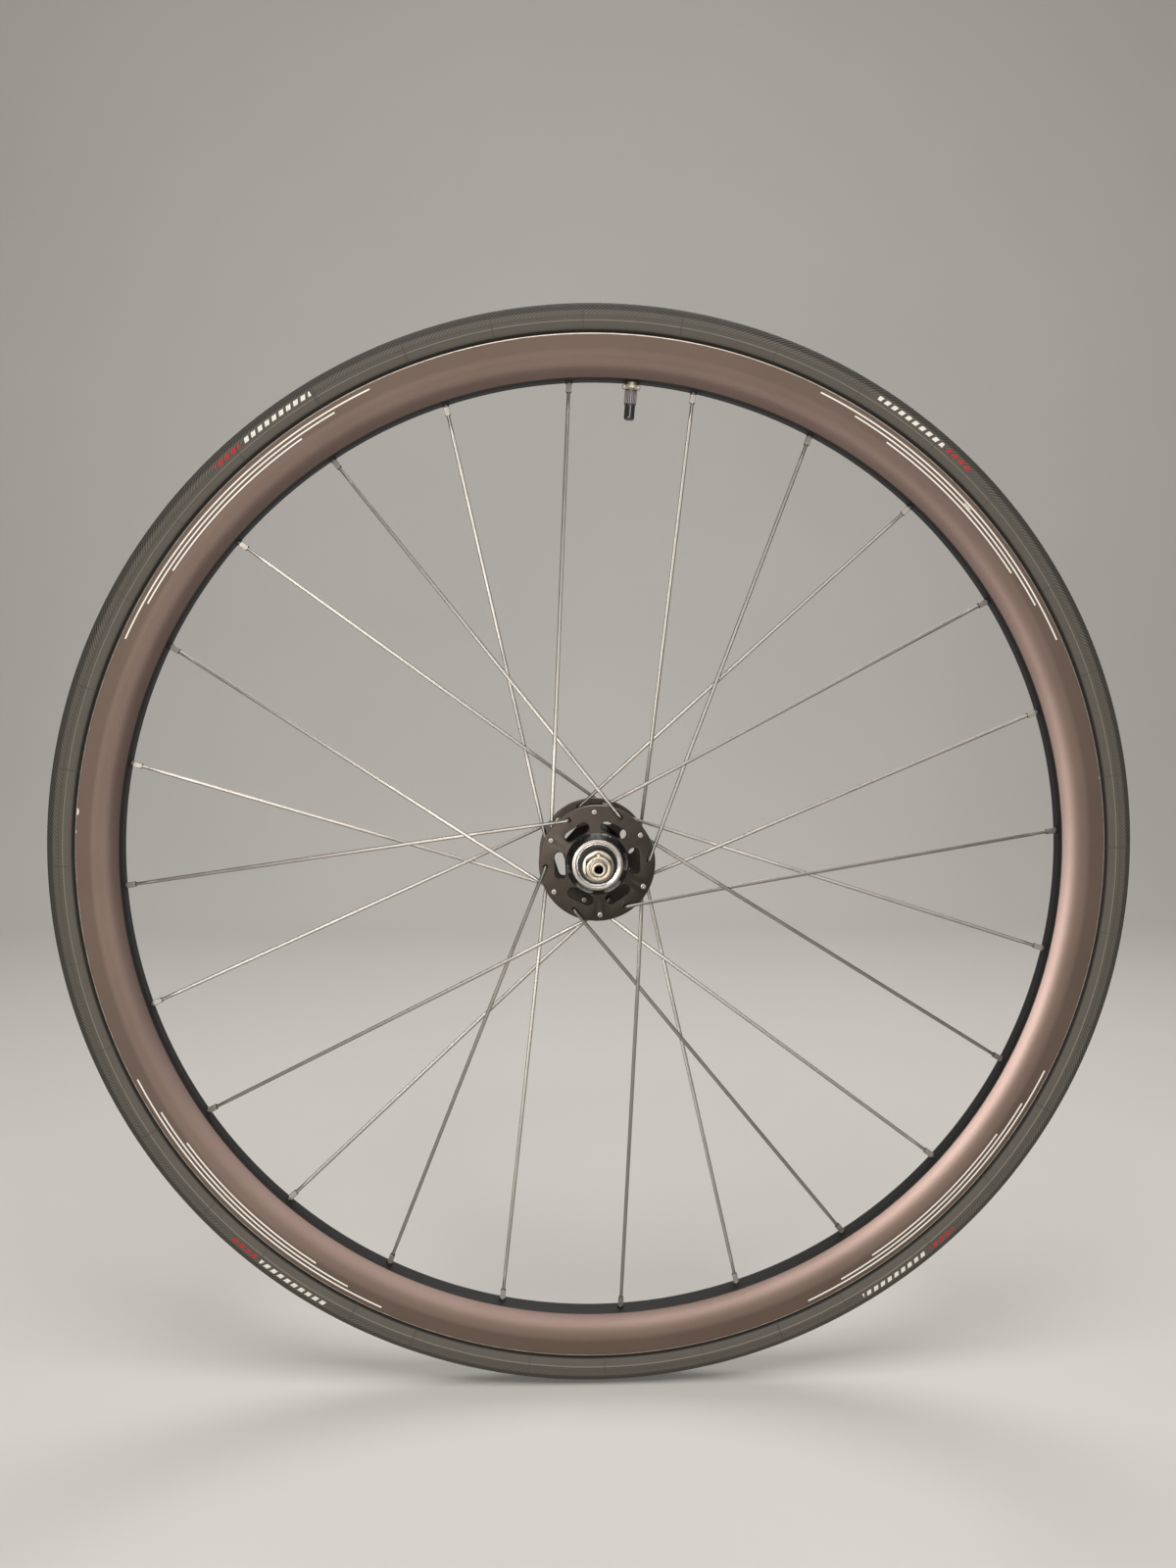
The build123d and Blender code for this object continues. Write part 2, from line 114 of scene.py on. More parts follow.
# Slanted bars of the tyre wall; the place counts from the X axis, and it and the spans are radians
bar_radius = 327.5
bar_half_height = 1.5
bar_pitch = 5.2
bar_length = 3.1
bar_slant = 0.45
bar_place = 0.95
pale_half_span = 0.075
red_before_pale = 0.115
red_half_span = 0.03

# Hub and axle
flange_outer_face = 27.0
flange_inner_face = 24.0
flange_radius = 35.2
boss_base_radius = 18.8
boss_end_radius = 15.2
end_ring_radius = 14.6
end_ring_face = 35.0
end_ring_start = 34.2
recess_radius = 13.0
bearing_outer_face = 32.0
bearing_inner_face = 26.0
bearing_radius = 12.0
bearing_bore_radius = 6.0
shell_bore_radius = 10.6
barrel_radius = 14.5
barrel_half = 15.0
window_count = 6
window_length = 16.2
window_width = 6.2
window_circle_radius = 22.4
axle_half = 54.0
axle_end_radius = 4.5
axle_thread_radius = 5.0
axle_bore_radius = 2.5
locknut_face = 50.0
locknut_flats = 15.0
locknut_face_radius = 7.1
collar_radius = 9.7
collar_neck_radius = 7.2
collar_inner_face = 36.4
collar_outer_face = 41.0

# Spokes and nipples
spokes_per_kind = 6
hole_circle_radius = 31.2
hole_radius = 1.25
first_near_hole = 3.2
side_stagger = 15.0
kind_stagger = 30.0
crossing_angle = 60.0
wire_radius = 1.0
blade_half_width = 1.15
blade_half_thickness = 0.5
blade_squareness = 1.4
blade_start = 24.0
blade_end = 20.0
blade_taper = 9.0
elbow_lift = 0.4
elbow_steps = 8
elbow_reach = 1.8
head_radius = 1.8
head_height = 1.1
bend_reach = 56.7
outer_bend_height = 19.84
inner_bend_height = 20.97
tip_beyond_bed = 2.6
nipple_flat = 1.65
nipple_corner_radius = 2.12
nipple_neck_radius = 2.0
nipple_neck_start = -1.2
nipple_flats_start = -6.6
nipple_head_start = 2.0
nipple_head_radius = 2.9
nipple_head_end = 4.4
nipple_bore_radius = 1.05

# Valve
valve_angle = 85.7
stem_radius = 3.0
lock_ring_radius = 5.5
lock_ring_nose_radius = 4.2
lock_ring_nose_length = 1.6
lock_ring_length = 4.4
lock_ring_seat = 0.04
cap_start = 4.7
cap_skirt_end = 12.9
cap_skirt_radius = 3.8
cap_rib_height = 0.2
cap_tip_radius = 3.2
cap_end = 22.3
cap_bore_radius = 3.3
cap_tip_bore_radius = 2.3
cap_bore_step = 12.3
cap_bore_end = 18.8

# Stage; the camera's place is in metres
floor_front = -3000.0
floor_half_width = 3500.0
sweep_start = 1500.0
sweep_radius = 600.0
sweep_steps = 24
backdrop_top = 3200.0
camera_place = (-0.0297, -0.7892, 0.1070)
camera_pitch = 85.583
camera_turn = -1.816
camera_lens = 19.5
light_tone = (1.0, 0.97, 0.95)

# Soft lights: name, place and size in metres, spread in degrees, watts
lights = (
    ("key_light", (-0.32, -1.5, 0.0), 0.4, 80.0, 2.3),
    ("fill_light", (0.5, -2.2, 0.45), 0.9, 90.0, 2.8),
    ("top_light", (0.0, -1.0, 2.2), 1.4, 180.0, 36.0),
    ("back_light", (0.3, 1.35, 1.8), 1.3, 120.0, 9.0),
)


def screen(red, green, blue):
    """Linear colour of a tone given as it shows on a screen, 0 to 255."""
    shares = (red / 255, green / 255, blue / 255)
    return tuple(((v + 0.055) / 1.055) ** 2.4 if v > 0.04 else v / 12.92 for v in shares)


def colour_setting(label, words, red, green, blue):
    """A colour that a user may change, with its default as a screen tone."""
    return bpy.props.FloatVectorProperty(
        name=label, description=words, subtype="COLOR", size=3, min=0, max=1,
        default=screen(red, green, blue))


def length_setting(label, words, millimetres):
    """A length that a user may change, with its default in millimetres."""
    return bpy.props.FloatProperty(
        name=label, description=words, subtype="DISTANCE", unit="LENGTH", precision=5,
        default=millimetres * mm)


def count_setting(label, words, count, least):
    """A number of repeats that a user may change."""
    return bpy.props.IntProperty(name=label, description=words, default=count, min=least)


class WheelSizes(bpy.types.PropertyGroup):
    """Sizes of the fine detail."""

    hatch_ridges: count_setting("Shoulder ridges", "Slanted ridges round each shoulder of the tread", 800, 60)
    hatch_height: length_setting("Ridge height", "How far a shoulder ridge stands off the tread", 0.25)
    hatch_width: length_setting("Ridge width", "Width of a shoulder ridge at its foot", 1.7)
    bead_ridges: count_setting("Bead ridges", "Fine ridges round each bead band of the tyre", 1500, 60)
    bead_height: length_setting("Bead ridge height", "How far a bead ridge stands off the wall", 0.16)
    rib_height: length_setting("Rib height", "How far the moulded rib stands off the tyre wall", 0.3)
    stripe_width: length_setting("Stripe width", "Width of a pinstripe on the rim wall", 0.9)
    lock_ring_ridges: count_setting("Lock ring ridges", "Ridges of the knurl round the lock ring", 36, 6)
    cap_ribs: count_setting("Cap ribs", "Grip ribs round the valve cap", 20, 6)


class WheelColours(bpy.types.PropertyGroup):
    """Colours of the finishes."""

    rim: colour_setting("Rim", "Satin anodised rim wall", 106, 91, 82)
    rim_flank: colour_setting("Rim flank", "Sloping inner half of the rim, a little pinker", 99, 84, 78)
    # Near black of the painted shade on the rim's spoke bed and tyre channel; also the black bearing seals
    bed_shade_and_seal: colour_setting("Rim bed", "Black spoke bed of the rim", 14, 13, 13)
    # Also lightens the hub's flange edges as a painted highlight
    bare_alloy_and_highlight: colour_setting("Bare alloy", "Worn and machined alloy", 208, 200, 188)
    stripe: colour_setting("Stripe", "Pinstripes on the rim and pale bars on the tyre", 226, 222, 212)
    accent: colour_setting("Accent", "Red bars on the tyre", 172, 34, 34)
    tyre: colour_setting("Tyre", "Rubber of the tyre", 88, 83, 75)
    hub: colour_setting("Hub", "Black anodised hub shell", 46, 42, 38)
    # Lighter than the black shell, as a painted sheen on the bosses
    boss_sheen: colour_setting("Boss", "Glossy bosses of the hub shell", 157.6, 157.6, 159.7)
    spoke: colour_setting("Spokes", "Drawn steel of the spokes", 140, 136, 130)
    nipple: colour_setting("Nipples", "Plating of the nipples", 136, 132, 126)
    steel: colour_setting("Steel", "Steel of the axle and nuts", 142, 134, 121)
    valve: colour_setting("Valve", "Nickelled brass of the valve and its lock ring", 204, 195, 180)
    plastic: colour_setting("Plastic", "Plastic of the valve cap", 38, 36, 36)
    floor: colour_setting("Floor", "Pale floor and backdrop", 214, 212, 207)


def sizes():
    """The detail sizes in use."""
    return bpy.context.scene.wheel_sizes


def colours():
    """The colours in use."""
    return bpy.context.scene.wheel_colours


def operation(name, reflected=False):
    """A method that joins a value with another through a Math node."""
    def method(self, other):
        pair = (other, self) if reflected else (self, other)
        return self.graph.maths(name, *pair)
    return method


class Value:
    """One output of a node that can be written in sums."""

    __add__ = __radd__ = operation("ADD")
    __mul__ = __rmul__ = operation("MULTIPLY")
    __sub__ = operation("SUBTRACT")
    __rsub__ = operation("SUBTRACT", True)
    __truediv__ = operation("DIVIDE")
    __lt__ = operation("LESS_THAN")
    __gt__ = operation("GREATER_THAN")

    def __init__(self, graph, socket):
        self.graph = graph
        self.socket = socket

    def __abs__(self):
        return self.graph.maths("ABSOLUTE", self)

    def output(self, name):
        """Another output of the same node."""
        return Value(self.graph, self.socket.node.outputs[name])


class Graph:
    """A node tree, for a finish or for repeated geometry."""

    def __init__(self, tree):
        self.tree = tree

    def node(self, kind, settings, inputs, output=0):
        """Add a node with its settings, then the values or links of its sockets."""
        made = self.tree.nodes.new(kind)
        for name, setting in settings.items():
            setattr(made, name, setting)
        for key, value in inputs.items():
            if isinstance(value, Value):
                self.tree.links.new(value.socket, made.inputs[key])
            else:
                made.inputs[key].default_value = value
        return Value(self, made.outputs[output]) if made.outputs else made

    def maths(self, operation, *values):
        """A Math node on numbers."""
        return self.node("ShaderNodeMath", {"operation": operation}, dict(enumerate(values)))

    def distance(self, x, y):
        """How far a point lies from the meeting of two axes."""
        return self.maths("SQRT", x * x + y * y)

    def smooth(self, value, low, high):
        """0 below low and 1 above high, with a soft step between."""
        return self.node("ShaderNodeMapRange", {"interpolation_type": "SMOOTHSTEP"},
                         {"Value": value, "From Min": low, "From Max": high})

    def band(self, value, low, high, soft):
        """1 between low and high, with soft edges."""
        return self.smooth(value, low - soft, low + soft) * (1 - self.smooth(value, high - soft, high + soft))

    def mix(self, factor, first, second):
        """A colour between two colours."""
        return self.node("ShaderNodeMix", {"data_type": "RGBA"}, {0: factor, 6: first, 7: second}, 2)

    def shades(self, factor, tone, dark, light):
        """A colour between a darker and a lighter shade of one tone."""
        return self.mix(factor, shaded(tone, dark), shaded(tone, light))

    def layered(self, colour, *layers):
        """A colour with others laid over it in turn, each through its mask."""
        for mask, over in layers:
            colour = self.mix(mask, colour, over)
        return colour

    def place(self):
        """Object coordinates in metres."""
        return self.node("ShaderNodeTexCoord", {}, {}, "Object")

    def joined(self, x, y, z):
        """A vector from three numbers."""
        return self.node("ShaderNodeCombineXYZ", {}, {"X": x, "Y": y, "Z": z})

    def noise(self, vector, scale, detail=2.0, roughness=0.5):
        """Soft noise, about 0 to 1."""
        return self.node("ShaderNodeTexNoise", {}, {
            "Vector": vector, "Scale": scale, "Detail": detail, "Roughness": roughness})

    def bump(self, height, distance):
        """A bumped normal; distance is in metres."""
        return self.node("ShaderNodeBump", {}, {"Height": height, "Distance": distance, "Strength": 1.0})

    def polar(self):
        """Radius and distance from the middle plane in millimetres, and angle round the axle in radians."""
        split = self.node("ShaderNodeSeparateXYZ", {}, {0: self.place()})
        x = split.output("X")
        z = split.output("Z")
        radius = self.distance(x, z) * (1 / mm)
        aside = abs(split.output("Y")) * (1 / mm)
        return radius, aside, self.maths("ARCTAN2", z, x)

    def near_side(self):
        """1 on the half that faces the camera, else 0."""
        return self.node("ShaderNodeSeparateXYZ", {}, {0: self.place()}).output("Y") < 0.0

    def mark(self, radius, angle, place, ragged):
        """1 within a small ragged-edged oval mark at a place (degrees, radius, half length, half height)."""
        degrees, mark_radius, half_length, half_height = place
        along = (angle - math.radians(degrees)) * (mark_radius / half_length)
        across = (radius - mark_radius) * (1 / half_height)
        return 1 - self.smooth(along * along + across * across + ragged, 0.9, 1.3)


def finish(name, inputs_of):
    """The material of one slot, made once; inputs_of(graph) gives the shader's inputs."""
    known = bpy.data.materials.get(name + "_finish")
    if known:
        return known
    material = bpy.data.materials.new(name + "_finish")
    material.use_nodes = True
    material.node_tree.nodes.clear()
    graph = Graph(material.node_tree)
    shader = graph.node("ShaderNodeBsdfPrincipled", {}, inputs_of(graph))
    graph.node("ShaderNodeOutputMaterial", {}, {"Surface": shader})
    return material


def shaded(colour, factor=1.0):
    """A colour with its fourth number, made darker or lighter by a factor."""
    return (*(min(1.0, v * factor) for v in colour), 1.0)


def tyre_rubber(graph):
    """Matt rubber with a mould bloom, faint mould lines and plain bars, with painted shade on the bead band,
    shoulders, rib crease, tread and rim gap, and painted highlights on the rib and ridge tops.
    """
    radius, aside, angle = graph.polar()
    place = graph.place()
    tone = colours().tyre
    bloom = graph.noise(place, 55.0, 4.0, 0.6)
    grain = graph.noise(place, 2600.0, 2.0, 0.6)
    on_wall = aside > tyre_half - 1.2
    # Painted shade: the bead band below the rib is made darker
    bead = 1 - graph.smooth(radius, rib_radius - 0.9, rib_radius - 0.3)
    # Painted highlight: the moulded rib is made lighter
    rib = graph.band(radius, rib_radius - 0.35, rib_radius + 0.35, 0.12) * on_wall
    # Painted shade: the ground between the shoulder ridges is made darker
    shoulder = graph.smooth(radius, rib_radius + 0.8, rib_radius + 1.8) * (aside > crown_half)
    # Painted shade: a dark line in the crease beside the rib
    groove_shade = graph.band(radius, rib_radius + 0.5, rib_radius + 0.85, 0.1) * on_wall
    # Painted shade: the tread is made much darker
    tread = graph.smooth(radius, tread_edge_radius, tread_edge_radius + 1.5)
    lift = graph.distance(radius - tread_arc_centre, aside) - tread_arc_radius
    # Painted highlight: the ridge tops are lighter than the ground between them
    ridge = graph.smooth(lift, 0.05, 0.16) * (radius > rib_radius + 1.2)
    # Painted shade: the tyre is made dark where it meets the rim
    gap_shade = 1 - graph.smooth(radius, tyre_gap_radius - 0.4, tyre_gap_radius + 0.4)
    drift = graph.noise(graph.joined(angle * 9.0, 0.0, 0.0), 1.0, 0.0)
    turns = graph.maths("WRAP", angle * seams_per_radian + drift * 0.8, 1.0, 0.0)
    seam = 1 - graph.smooth(abs(turns - 0.5), 0.004, 0.012)
    seam = seam * graph.band(radius, tyre_gap_radius - 1.0, tread_edge_radius, 0.3)
    along = angle * bar_radius + (radius - bar_radius) * bar_slant
    folded = graph.maths("PINGPONG", angle + full_turn, math.pi / 2) - bar_place
    bar = graph.band(radius, bar_radius - bar_half_height, bar_radius + bar_half_height, 0.05)
    bar = (graph.maths("WRAP", along, bar_pitch, 0.0) < bar_length) * bar
    pale = bar * (abs(folded) < pale_half_span)
    red = bar * (abs(folded + red_before_pale) < red_half_span)
    colour = graph.layered(
        graph.shades(graph.smooth(bloom, 0.35, 0.7), tone, 0.92, 1.12),
        # painted shade on the bead band
        (bead, shaded(tone, 0.86)),
        # painted highlight on the rib
        (rib, shaded(tone, 1.7)),
        # painted shade between the shoulder ridges
        (shoulder, shaded(tone, 0.72)),
        # painted shade in the crease beside the rib
        (groove_shade, shaded(tone, 0.35)),
        # painted shade on the tread
        (tread, shaded(tone, 0.22)),
        # painted highlight on the ridge tops
        (ridge, graph.shades(tread, tone, 1.15, 0.72)),
        # painted shade in the gap at the rim
        (gap_shade, shaded(tone, 0.2)),
        (seam * 0.5, shaded(tone, 0.5)),
        (pale * 0.92, shaded(colours().stripe)),
        (red * 0.92, shaded(colours().accent)),
    )
    lines = graph.noise(graph.joined(angle * 420.0, 0.0, aside * 0.02), 1.0, 1.0)
    roughness = 0.62 + bloom * 0.2 - rib * 0.12
    normal = graph.bump(grain * 0.5 + lines * 0.5 - seam * 0.8, 0.00012)
    return {"Base Color": colour, "Roughness": roughness, "Normal": normal, "Specular IOR Level": 0.42}


def rim_alloy(graph):
    """Satin anodised alloy with a turned grain, painted shade on the spoke bed and in the tyre channel, a
    worn lip, chips and plain pinstripes.
    """
    radius, aside, angle = graph.polar()
    place = graph.place()
    grain = graph.noise(graph.joined(radius * 5.0, aside * 5.0, angle * 30.0), 1.0, 3.0, 0.6)
    speckle = graph.noise(place, 1500.0, 2.0, 0.7)
    cloud = graph.noise(place, 16.0, 3.0)
    track = graph.smooth(radius, rim_track_radius - 12.5, rim_track_radius - 4.0)
    flank = 1 - track
    base = graph.mix(flank, shaded(colours().rim), shaded(colours().rim_flank))
    mottle = 0.62 + grain * 0.25 + cloud * 0.25 + speckle * 0.26
    colour = graph.node("ShaderNodeMix", {"data_type": "RGBA", "blend_type": "MULTIPLY"}, {
        0: 1.0, 6: base, 7: graph.joined(mottle, mottle, mottle)}, 2)
    # Painted shade: the spoke bed and the tyre channel inside the lips are painted near black
    bed = 1 - graph.smooth(radius, rim_edge_radius - 0.1, rim_edge_radius + 0.1)
    well_shade = (aside < lip_foot_half) * (radius > rim_well_radius - 1.5)
    dark = graph.maths("MAXIMUM", bed, well_shade)
    scuff = graph.noise(graph.joined(angle * 60.0, radius * 0.6, 0.0), 1.0, 4.0, 0.7)
    bare = graph.smooth(radius + scuff * 0.7, rim_outer_radius - 0.7, rim_outer_radius - 0.2) * 0.95
    ragged = graph.noise(place, 900.0, 2.0, 0.6) * 1.2 - 0.6
    near = graph.near_side()
    for chip in chips:
        bare = graph.maths("MAXIMUM", bare, graph.mark(radius, angle, chip, ragged) * near)
    bare = bare * (1 - well_shade)
    quarter = abs(graph.maths("WRAP", angle, math.pi / 2, 0.0) - math.pi / 4)
    half_width = sizes().stripe_width / mm / 2
    stripe = 0.0
    for stripe_radius, half_span in stripes:
        line = 1 - graph.smooth(abs(radius - stripe_radius), half_width - 0.06, half_width + 0.06)
        stripe = stripe + line * (quarter < half_span)
    stripe = stripe * (aside > rim_half - 1.0)
    colour = graph.layered(
        colour,
        # painted shade on the spoke bed and in the tyre channel
        (dark, shaded(colours().bed_shade_and_seal)),
        (bare, shaded(colours().bare_alloy_and_highlight)),
        (stripe, shaded(colours().stripe)),
    )
    metallic = (1 - dark * 0.9) * (1 - stripe * 0.95)
    roughness = 0.27 + track * 0.25 + grain * 0.04 + speckle * 0.06 + dark * 0.3 - bare * 0.1
    normal = graph.bump(speckle * 0.6 + grain * 0.4, 0.00002)
    return {"Base Color": colour, "Metallic": metallic, "Roughness": roughness, "Normal": normal,
            "Coat Weight": 0.15 * flank * (1 - dark), "Coat Roughness": 0.24}


def spoke_steel(graph):
    """Drawn steel with fine lines along the wire over a soft cloud."""
    radius, aside, angle = graph.polar()
    streak = graph.noise(graph.joined(radius * 0.06, aside * 6.0, angle * 900.0), 1.0, 3.0, 0.6)
    cloud = graph.noise(graph.place(), 90.0, 3.0)
    colour = graph.shades(streak * 0.5 + cloud * 0.5, colours().spoke, 0.72, 1.12)
    return {"Base Color": colour, "Metallic": 1.0, "Roughness": 0.3 + cloud * 0.16,
            "Normal": graph.bump(streak, 0.00002)}


def nipple_plating(graph):
    """Bright plating, darker and rougher as painted shade where the nipple goes into the rim bed."""
    radius = graph.polar()[0]
    tone = colours().nipple
    cloud = graph.noise(graph.place(), 420.0, 3.0)
    # Painted shade: darker and duller where the nipple goes into the rim bed
    bed_hole_shade = graph.smooth(radius + cloud * 1.2, rim_bed_radius - 1.4, rim_bed_radius + 0.4)
    colour = graph.mix(bed_hole_shade, graph.shades(cloud, tone, 0.85, 1.08), shaded(tone, 0.3))
    return {"Base Color": colour, "Metallic": 1.0, "Roughness": 0.36 + cloud * 0.16 + bed_hole_shade * 0.2}


def hub_alloy(graph):
    """Black anodised shell with fine turning lines, a painted highlight along the flange edges, bosses
    lightened as painted sheen and a bare ring at each end.
    """
    radius, aside, angle = graph.polar()
    lines = graph.noise(graph.joined(radius * 9.0, aside * 9.0, angle * 1.5), 1.0, 2.0, 0.6)
    cloud = graph.noise(graph.place(), 130.0, 3.0)
    ring = graph.smooth(aside, end_ring_start - 0.12, end_ring_start + 0.02)
    # Painted highlight: a lighter line along the flange edges
    edge_highlight = graph.smooth(radius, flange_radius - 0.45, flange_radius - 0.2)
    edge_highlight = edge_highlight * graph.band(aside, flange_inner_face - 0.2, flange_outer_face + 0.2, 0.1)
    # Painted sheen: the bosses are a lighter metal than the black shell so that they show bright reflections
    cone = graph.band(aside, flange_outer_face + 0.3, end_ring_start - 0.2, 0.2)
    colour = graph.layered(
        graph.shades(lines * 0.5 + cloud * 0.5, colours().hub, 0.75, 1.35),
        # painted highlight along the flange edges
        (edge_highlight * 0.5, shaded(colours().bare_alloy_and_highlight, 0.5)),
        # painted sheen on the bosses
        (cone, shaded(colours().boss_sheen)),
        (ring, shaded(colours().bare_alloy_and_highlight, 0.36)),
    )
    return {"Base Color": colour, "Metallic": 1.0, "Roughness": 0.32 + lines * 0.12 - cone * 0.2 - ring * 0.1,
            "Normal": graph.bump(lines, 0.00003)}


def turned_metal(tone, roughness):
    """A maker of turned metal finishes: fine rings round the axle over a cloudy base."""
    def inputs_of(graph):
        radius, aside, angle = graph.polar()
        lines = graph.noise(graph.joined(radius * 11.0, aside * 11.0, angle * 1.2), 1.0, 2.0, 0.6)
        cloud = graph.noise(graph.place(), 240.0, 3.0)
        colour = graph.shades(lines * 0.6 + cloud * 0.4, tone, 0.78, 1.1)
        return {"Base Color": colour, "Metallic": 1.0, "Roughness": roughness + lines * 0.1,
                "Normal": graph.bump(lines, 0.00003)}
    return inputs_of


def plain_metal(tone, roughness):
    """A maker of plain metal finishes with a soft cloud."""
    def inputs_of(graph):
        cloud = graph.noise(graph.place(), 320.0, 4.0, 0.6)
        return {"Base Color": graph.shades(cloud, tone, 0.75, 1.12), "Metallic": 1.0,
                "Roughness": roughness + cloud * 0.15, "Normal": graph.bump(cloud, 0.00003)}
    return inputs_of


def cap_plastic(graph):
    """Smoky plastic of the valve cap: a lighter grey ribbed skirt with painted highlights on the rib tops,
    and a glossy dark tip.
    """
    radius, aside, angle = graph.polar()
    tone = colours().plastic
    cloud = graph.noise(graph.place(), 500.0, 3.0)
    skirt_end = rim_bed_radius - cap_skirt_end
    skirt = graph.smooth(radius + cloud * 0.6, skirt_end - 0.6, skirt_end + 0.6)
    beside = (angle - math.radians(valve_angle)) * radius
    rib_foot = cap_skirt_radius - 0.7 * cap_rib_height
    # Painted highlight: the tops of the grip ribs are made much lighter
    rib = graph.smooth(graph.distance(beside, aside), rib_foot, rib_foot + 0.5 * cap_rib_height)
    colour = graph.layered(shaded(tone), (skirt, shaded(tone, 3.0)), (skirt * rib, shaded(tone, 16.0)))
    return {"Base Color": colour, "Roughness": 0.1 + cloud * 0.08 + skirt * 0.2, "Specular IOR Level": 0.8}


def moulded(tone, roughness):
    """A maker of moulded plastic and rubber finishes with a fine grain."""
    def inputs_of(graph):
        grain = graph.noise(graph.place(), 1900.0, 2.0)
        cloud = graph.noise(graph.place(), 160.0, 3.0)
        return {"Base Color": graph.shades(cloud, tone, 0.8, 1.2), "Roughness": roughness + cloud * 0.15,
                "Normal": graph.bump(grain, 0.00004)}
    return inputs_of


def finish_of(slot):
    """The material of one of the record's slots."""
    recipes = {
        "tyre_rubber": tyre_rubber,
        "rim_alloy": rim_alloy,
        "spoke_steel": spoke_steel,
        "nipple_plating": nipple_plating,
        "hub_alloy": hub_alloy,
        "axle_steel": turned_metal(colours().steel, 0.24),
        "collar_alloy": turned_metal(colours().steel, 0.24),
        "locknut_steel": turned_metal(colours().steel, 0.22),
        "sleeve_alloy": turned_metal(colours().steel, 0.35),
        "bearing_steel": turned_metal(colours().hub, 0.3),
        "seal_rubber": moulded(colours().bed_shade_and_seal, 0.55),
        "tube_rubber": moulded(colours().plastic, 0.6),
        "tape_plastic": moulded(colours().stripe, 0.5),
        "valve_metal": plain_metal(colours().valve, 0.32),
        "cap_plastic": cap_plastic,
    }
    return finish(slot, recipes[slot])


def at_angle(radius, angle):
    """A point of the wheel's middle plane, from its angle in degrees."""
    turn = math.radians(angle)
    return Vector((radius * math.cos(turn), 0, radius * math.sin(turn)))


def own_frame(first, second, third, origin):
    """The matrix of a frame from its three directions and its origin."""
    matrix = Matrix((first, second, third)).transposed().to_4x4()
    matrix.translation = origin
    return matrix


def mirrored(corners):
    """Continue an outline drawn on the +Y half back along the -Y half."""
    return corners + [(r, -y, *rest) for r, y, *rest in reversed(corners)]


def rounded(corners, steps):
    """A closed outline through (radius, place, rounding) corners, each turned into an arc."""
    outline = []
    for i, (radius, place, rounding) in enumerate(corners):
        corner = Vector((radius, place))
        if rounding == 0:
            outline.append(corner)
            continue
        back = (Vector(corners[i - 1][:2]) - corner).normalized()
        ahead = (Vector(corners[(i + 1) % len(corners)][:2]) - corner).normalized()
        half = back.angle(ahead) / 2
        centre = corner + (back + ahead).normalized() * rounding / math.sin(half)
        start = corner + back * rounding / math.tan(half) - centre
        end = corner + ahead * rounding / math.tan(half) - centre
        sweep = start.angle_signed(end)
        outline += [centre + Matrix.Rotation(-sweep * step / steps, 2) @ start for step in range(steps + 1)]
    return outline


def turned(outline, steps, limit=None):
    """Vertices and faces of a closed outline turned round the Y axis; limit(turn, place) caps the radius."""
    vertices = []
    for i in range(steps):
        turn = full_turn * i / steps
        for radius, place in outline:
            kept = min(radius, limit(turn, place)) if limit else radius
            vertices.append(Vector((kept * math.cos(turn), place, kept * math.sin(turn))))
    return vertices, grid_faces(steps, len(outline), True, True)


def polygon(turn, count, flats):
    """Radius of an even-sided outline at a turn, from its size across flats."""
    half_side = math.pi / count
    to_flat = (turn + half_side) % (2 * half_side) - half_side
    return flats / 2 / math.cos(to_flat)


def grid_faces(rows, columns, rows_closed, columns_closed):
    """Quads between the rows and columns of a grid of vertices."""
    faces = []
    for i in range(rows if rows_closed else rows - 1):
        row = i * columns
        next_row = (i + 1) % rows * columns
        for j in range(columns if columns_closed else columns - 1):
            along = (j + 1) % columns
            faces.append((row + j, row + along, next_row + along, next_row + j))
    return faces


def tube_faces(rows, columns):
    """Quads between the rows of a tube, and a face over each end."""
    last = (rows - 1) * columns
    ends = [tuple(range(columns)), tuple(range(last, last + columns))]
    return grid_faces(rows, columns, False, True) + ends


def moved(part, matrix):
    """A part's vertices through a matrix."""
    vertices, faces = part
    return [matrix @ v for v in vertices], faces


def joined_parts(parts):
    """Several parts as one."""
    vertices = []
    faces = []
    for part_vertices, part_faces in parts:
        start = len(vertices)
        vertices.extend(part_vertices)
        faces.extend(tuple(start + i for i in face) for face in part_faces)
    return vertices, faces


def make_piece(name, part, slot, sharp=35.0):
    """An object with a clean closed mesh, in metres, and its finish."""
    vertices, faces = part
    mesh = bpy.data.meshes.new(name)
    mesh.from_pydata([v * mm for v in vertices], [], faces)
    clean_mesh(mesh, sharp)
    mesh.materials.append(finish_of(slot))
    piece = bpy.data.objects.new(name, mesh)
    bpy.context.scene.collection.objects.link(piece)
    return piece


def clean_mesh(mesh, sharp):
    """Merge doubles, point the faces outwards and shade smooth between sharp edges."""
    work = bmesh.new()
    work.from_mesh(mesh)
    bmesh.ops.remove_doubles(work, verts=work.verts, dist=1e-7)
    bmesh.ops.dissolve_degenerate(work, edges=work.edges, dist=1e-8)
    bmesh.ops.recalc_face_normals(work, faces=work.faces)
    work.to_mesh(mesh)
    work.free()
    mesh.shade_smooth()
    mesh.set_sharp_from_angle(angle=math.radians(sharp))


def plain_mesh(piece):
    """Turn a piece and its modifiers into a plain mesh."""
    graph = bpy.context.evaluated_depsgraph_get()
    piece.data = bpy.data.meshes.new_from_object(
        piece.evaluated_get(graph), preserve_all_data_layers=True, depsgraph=graph)
    piece.modifiers.clear()


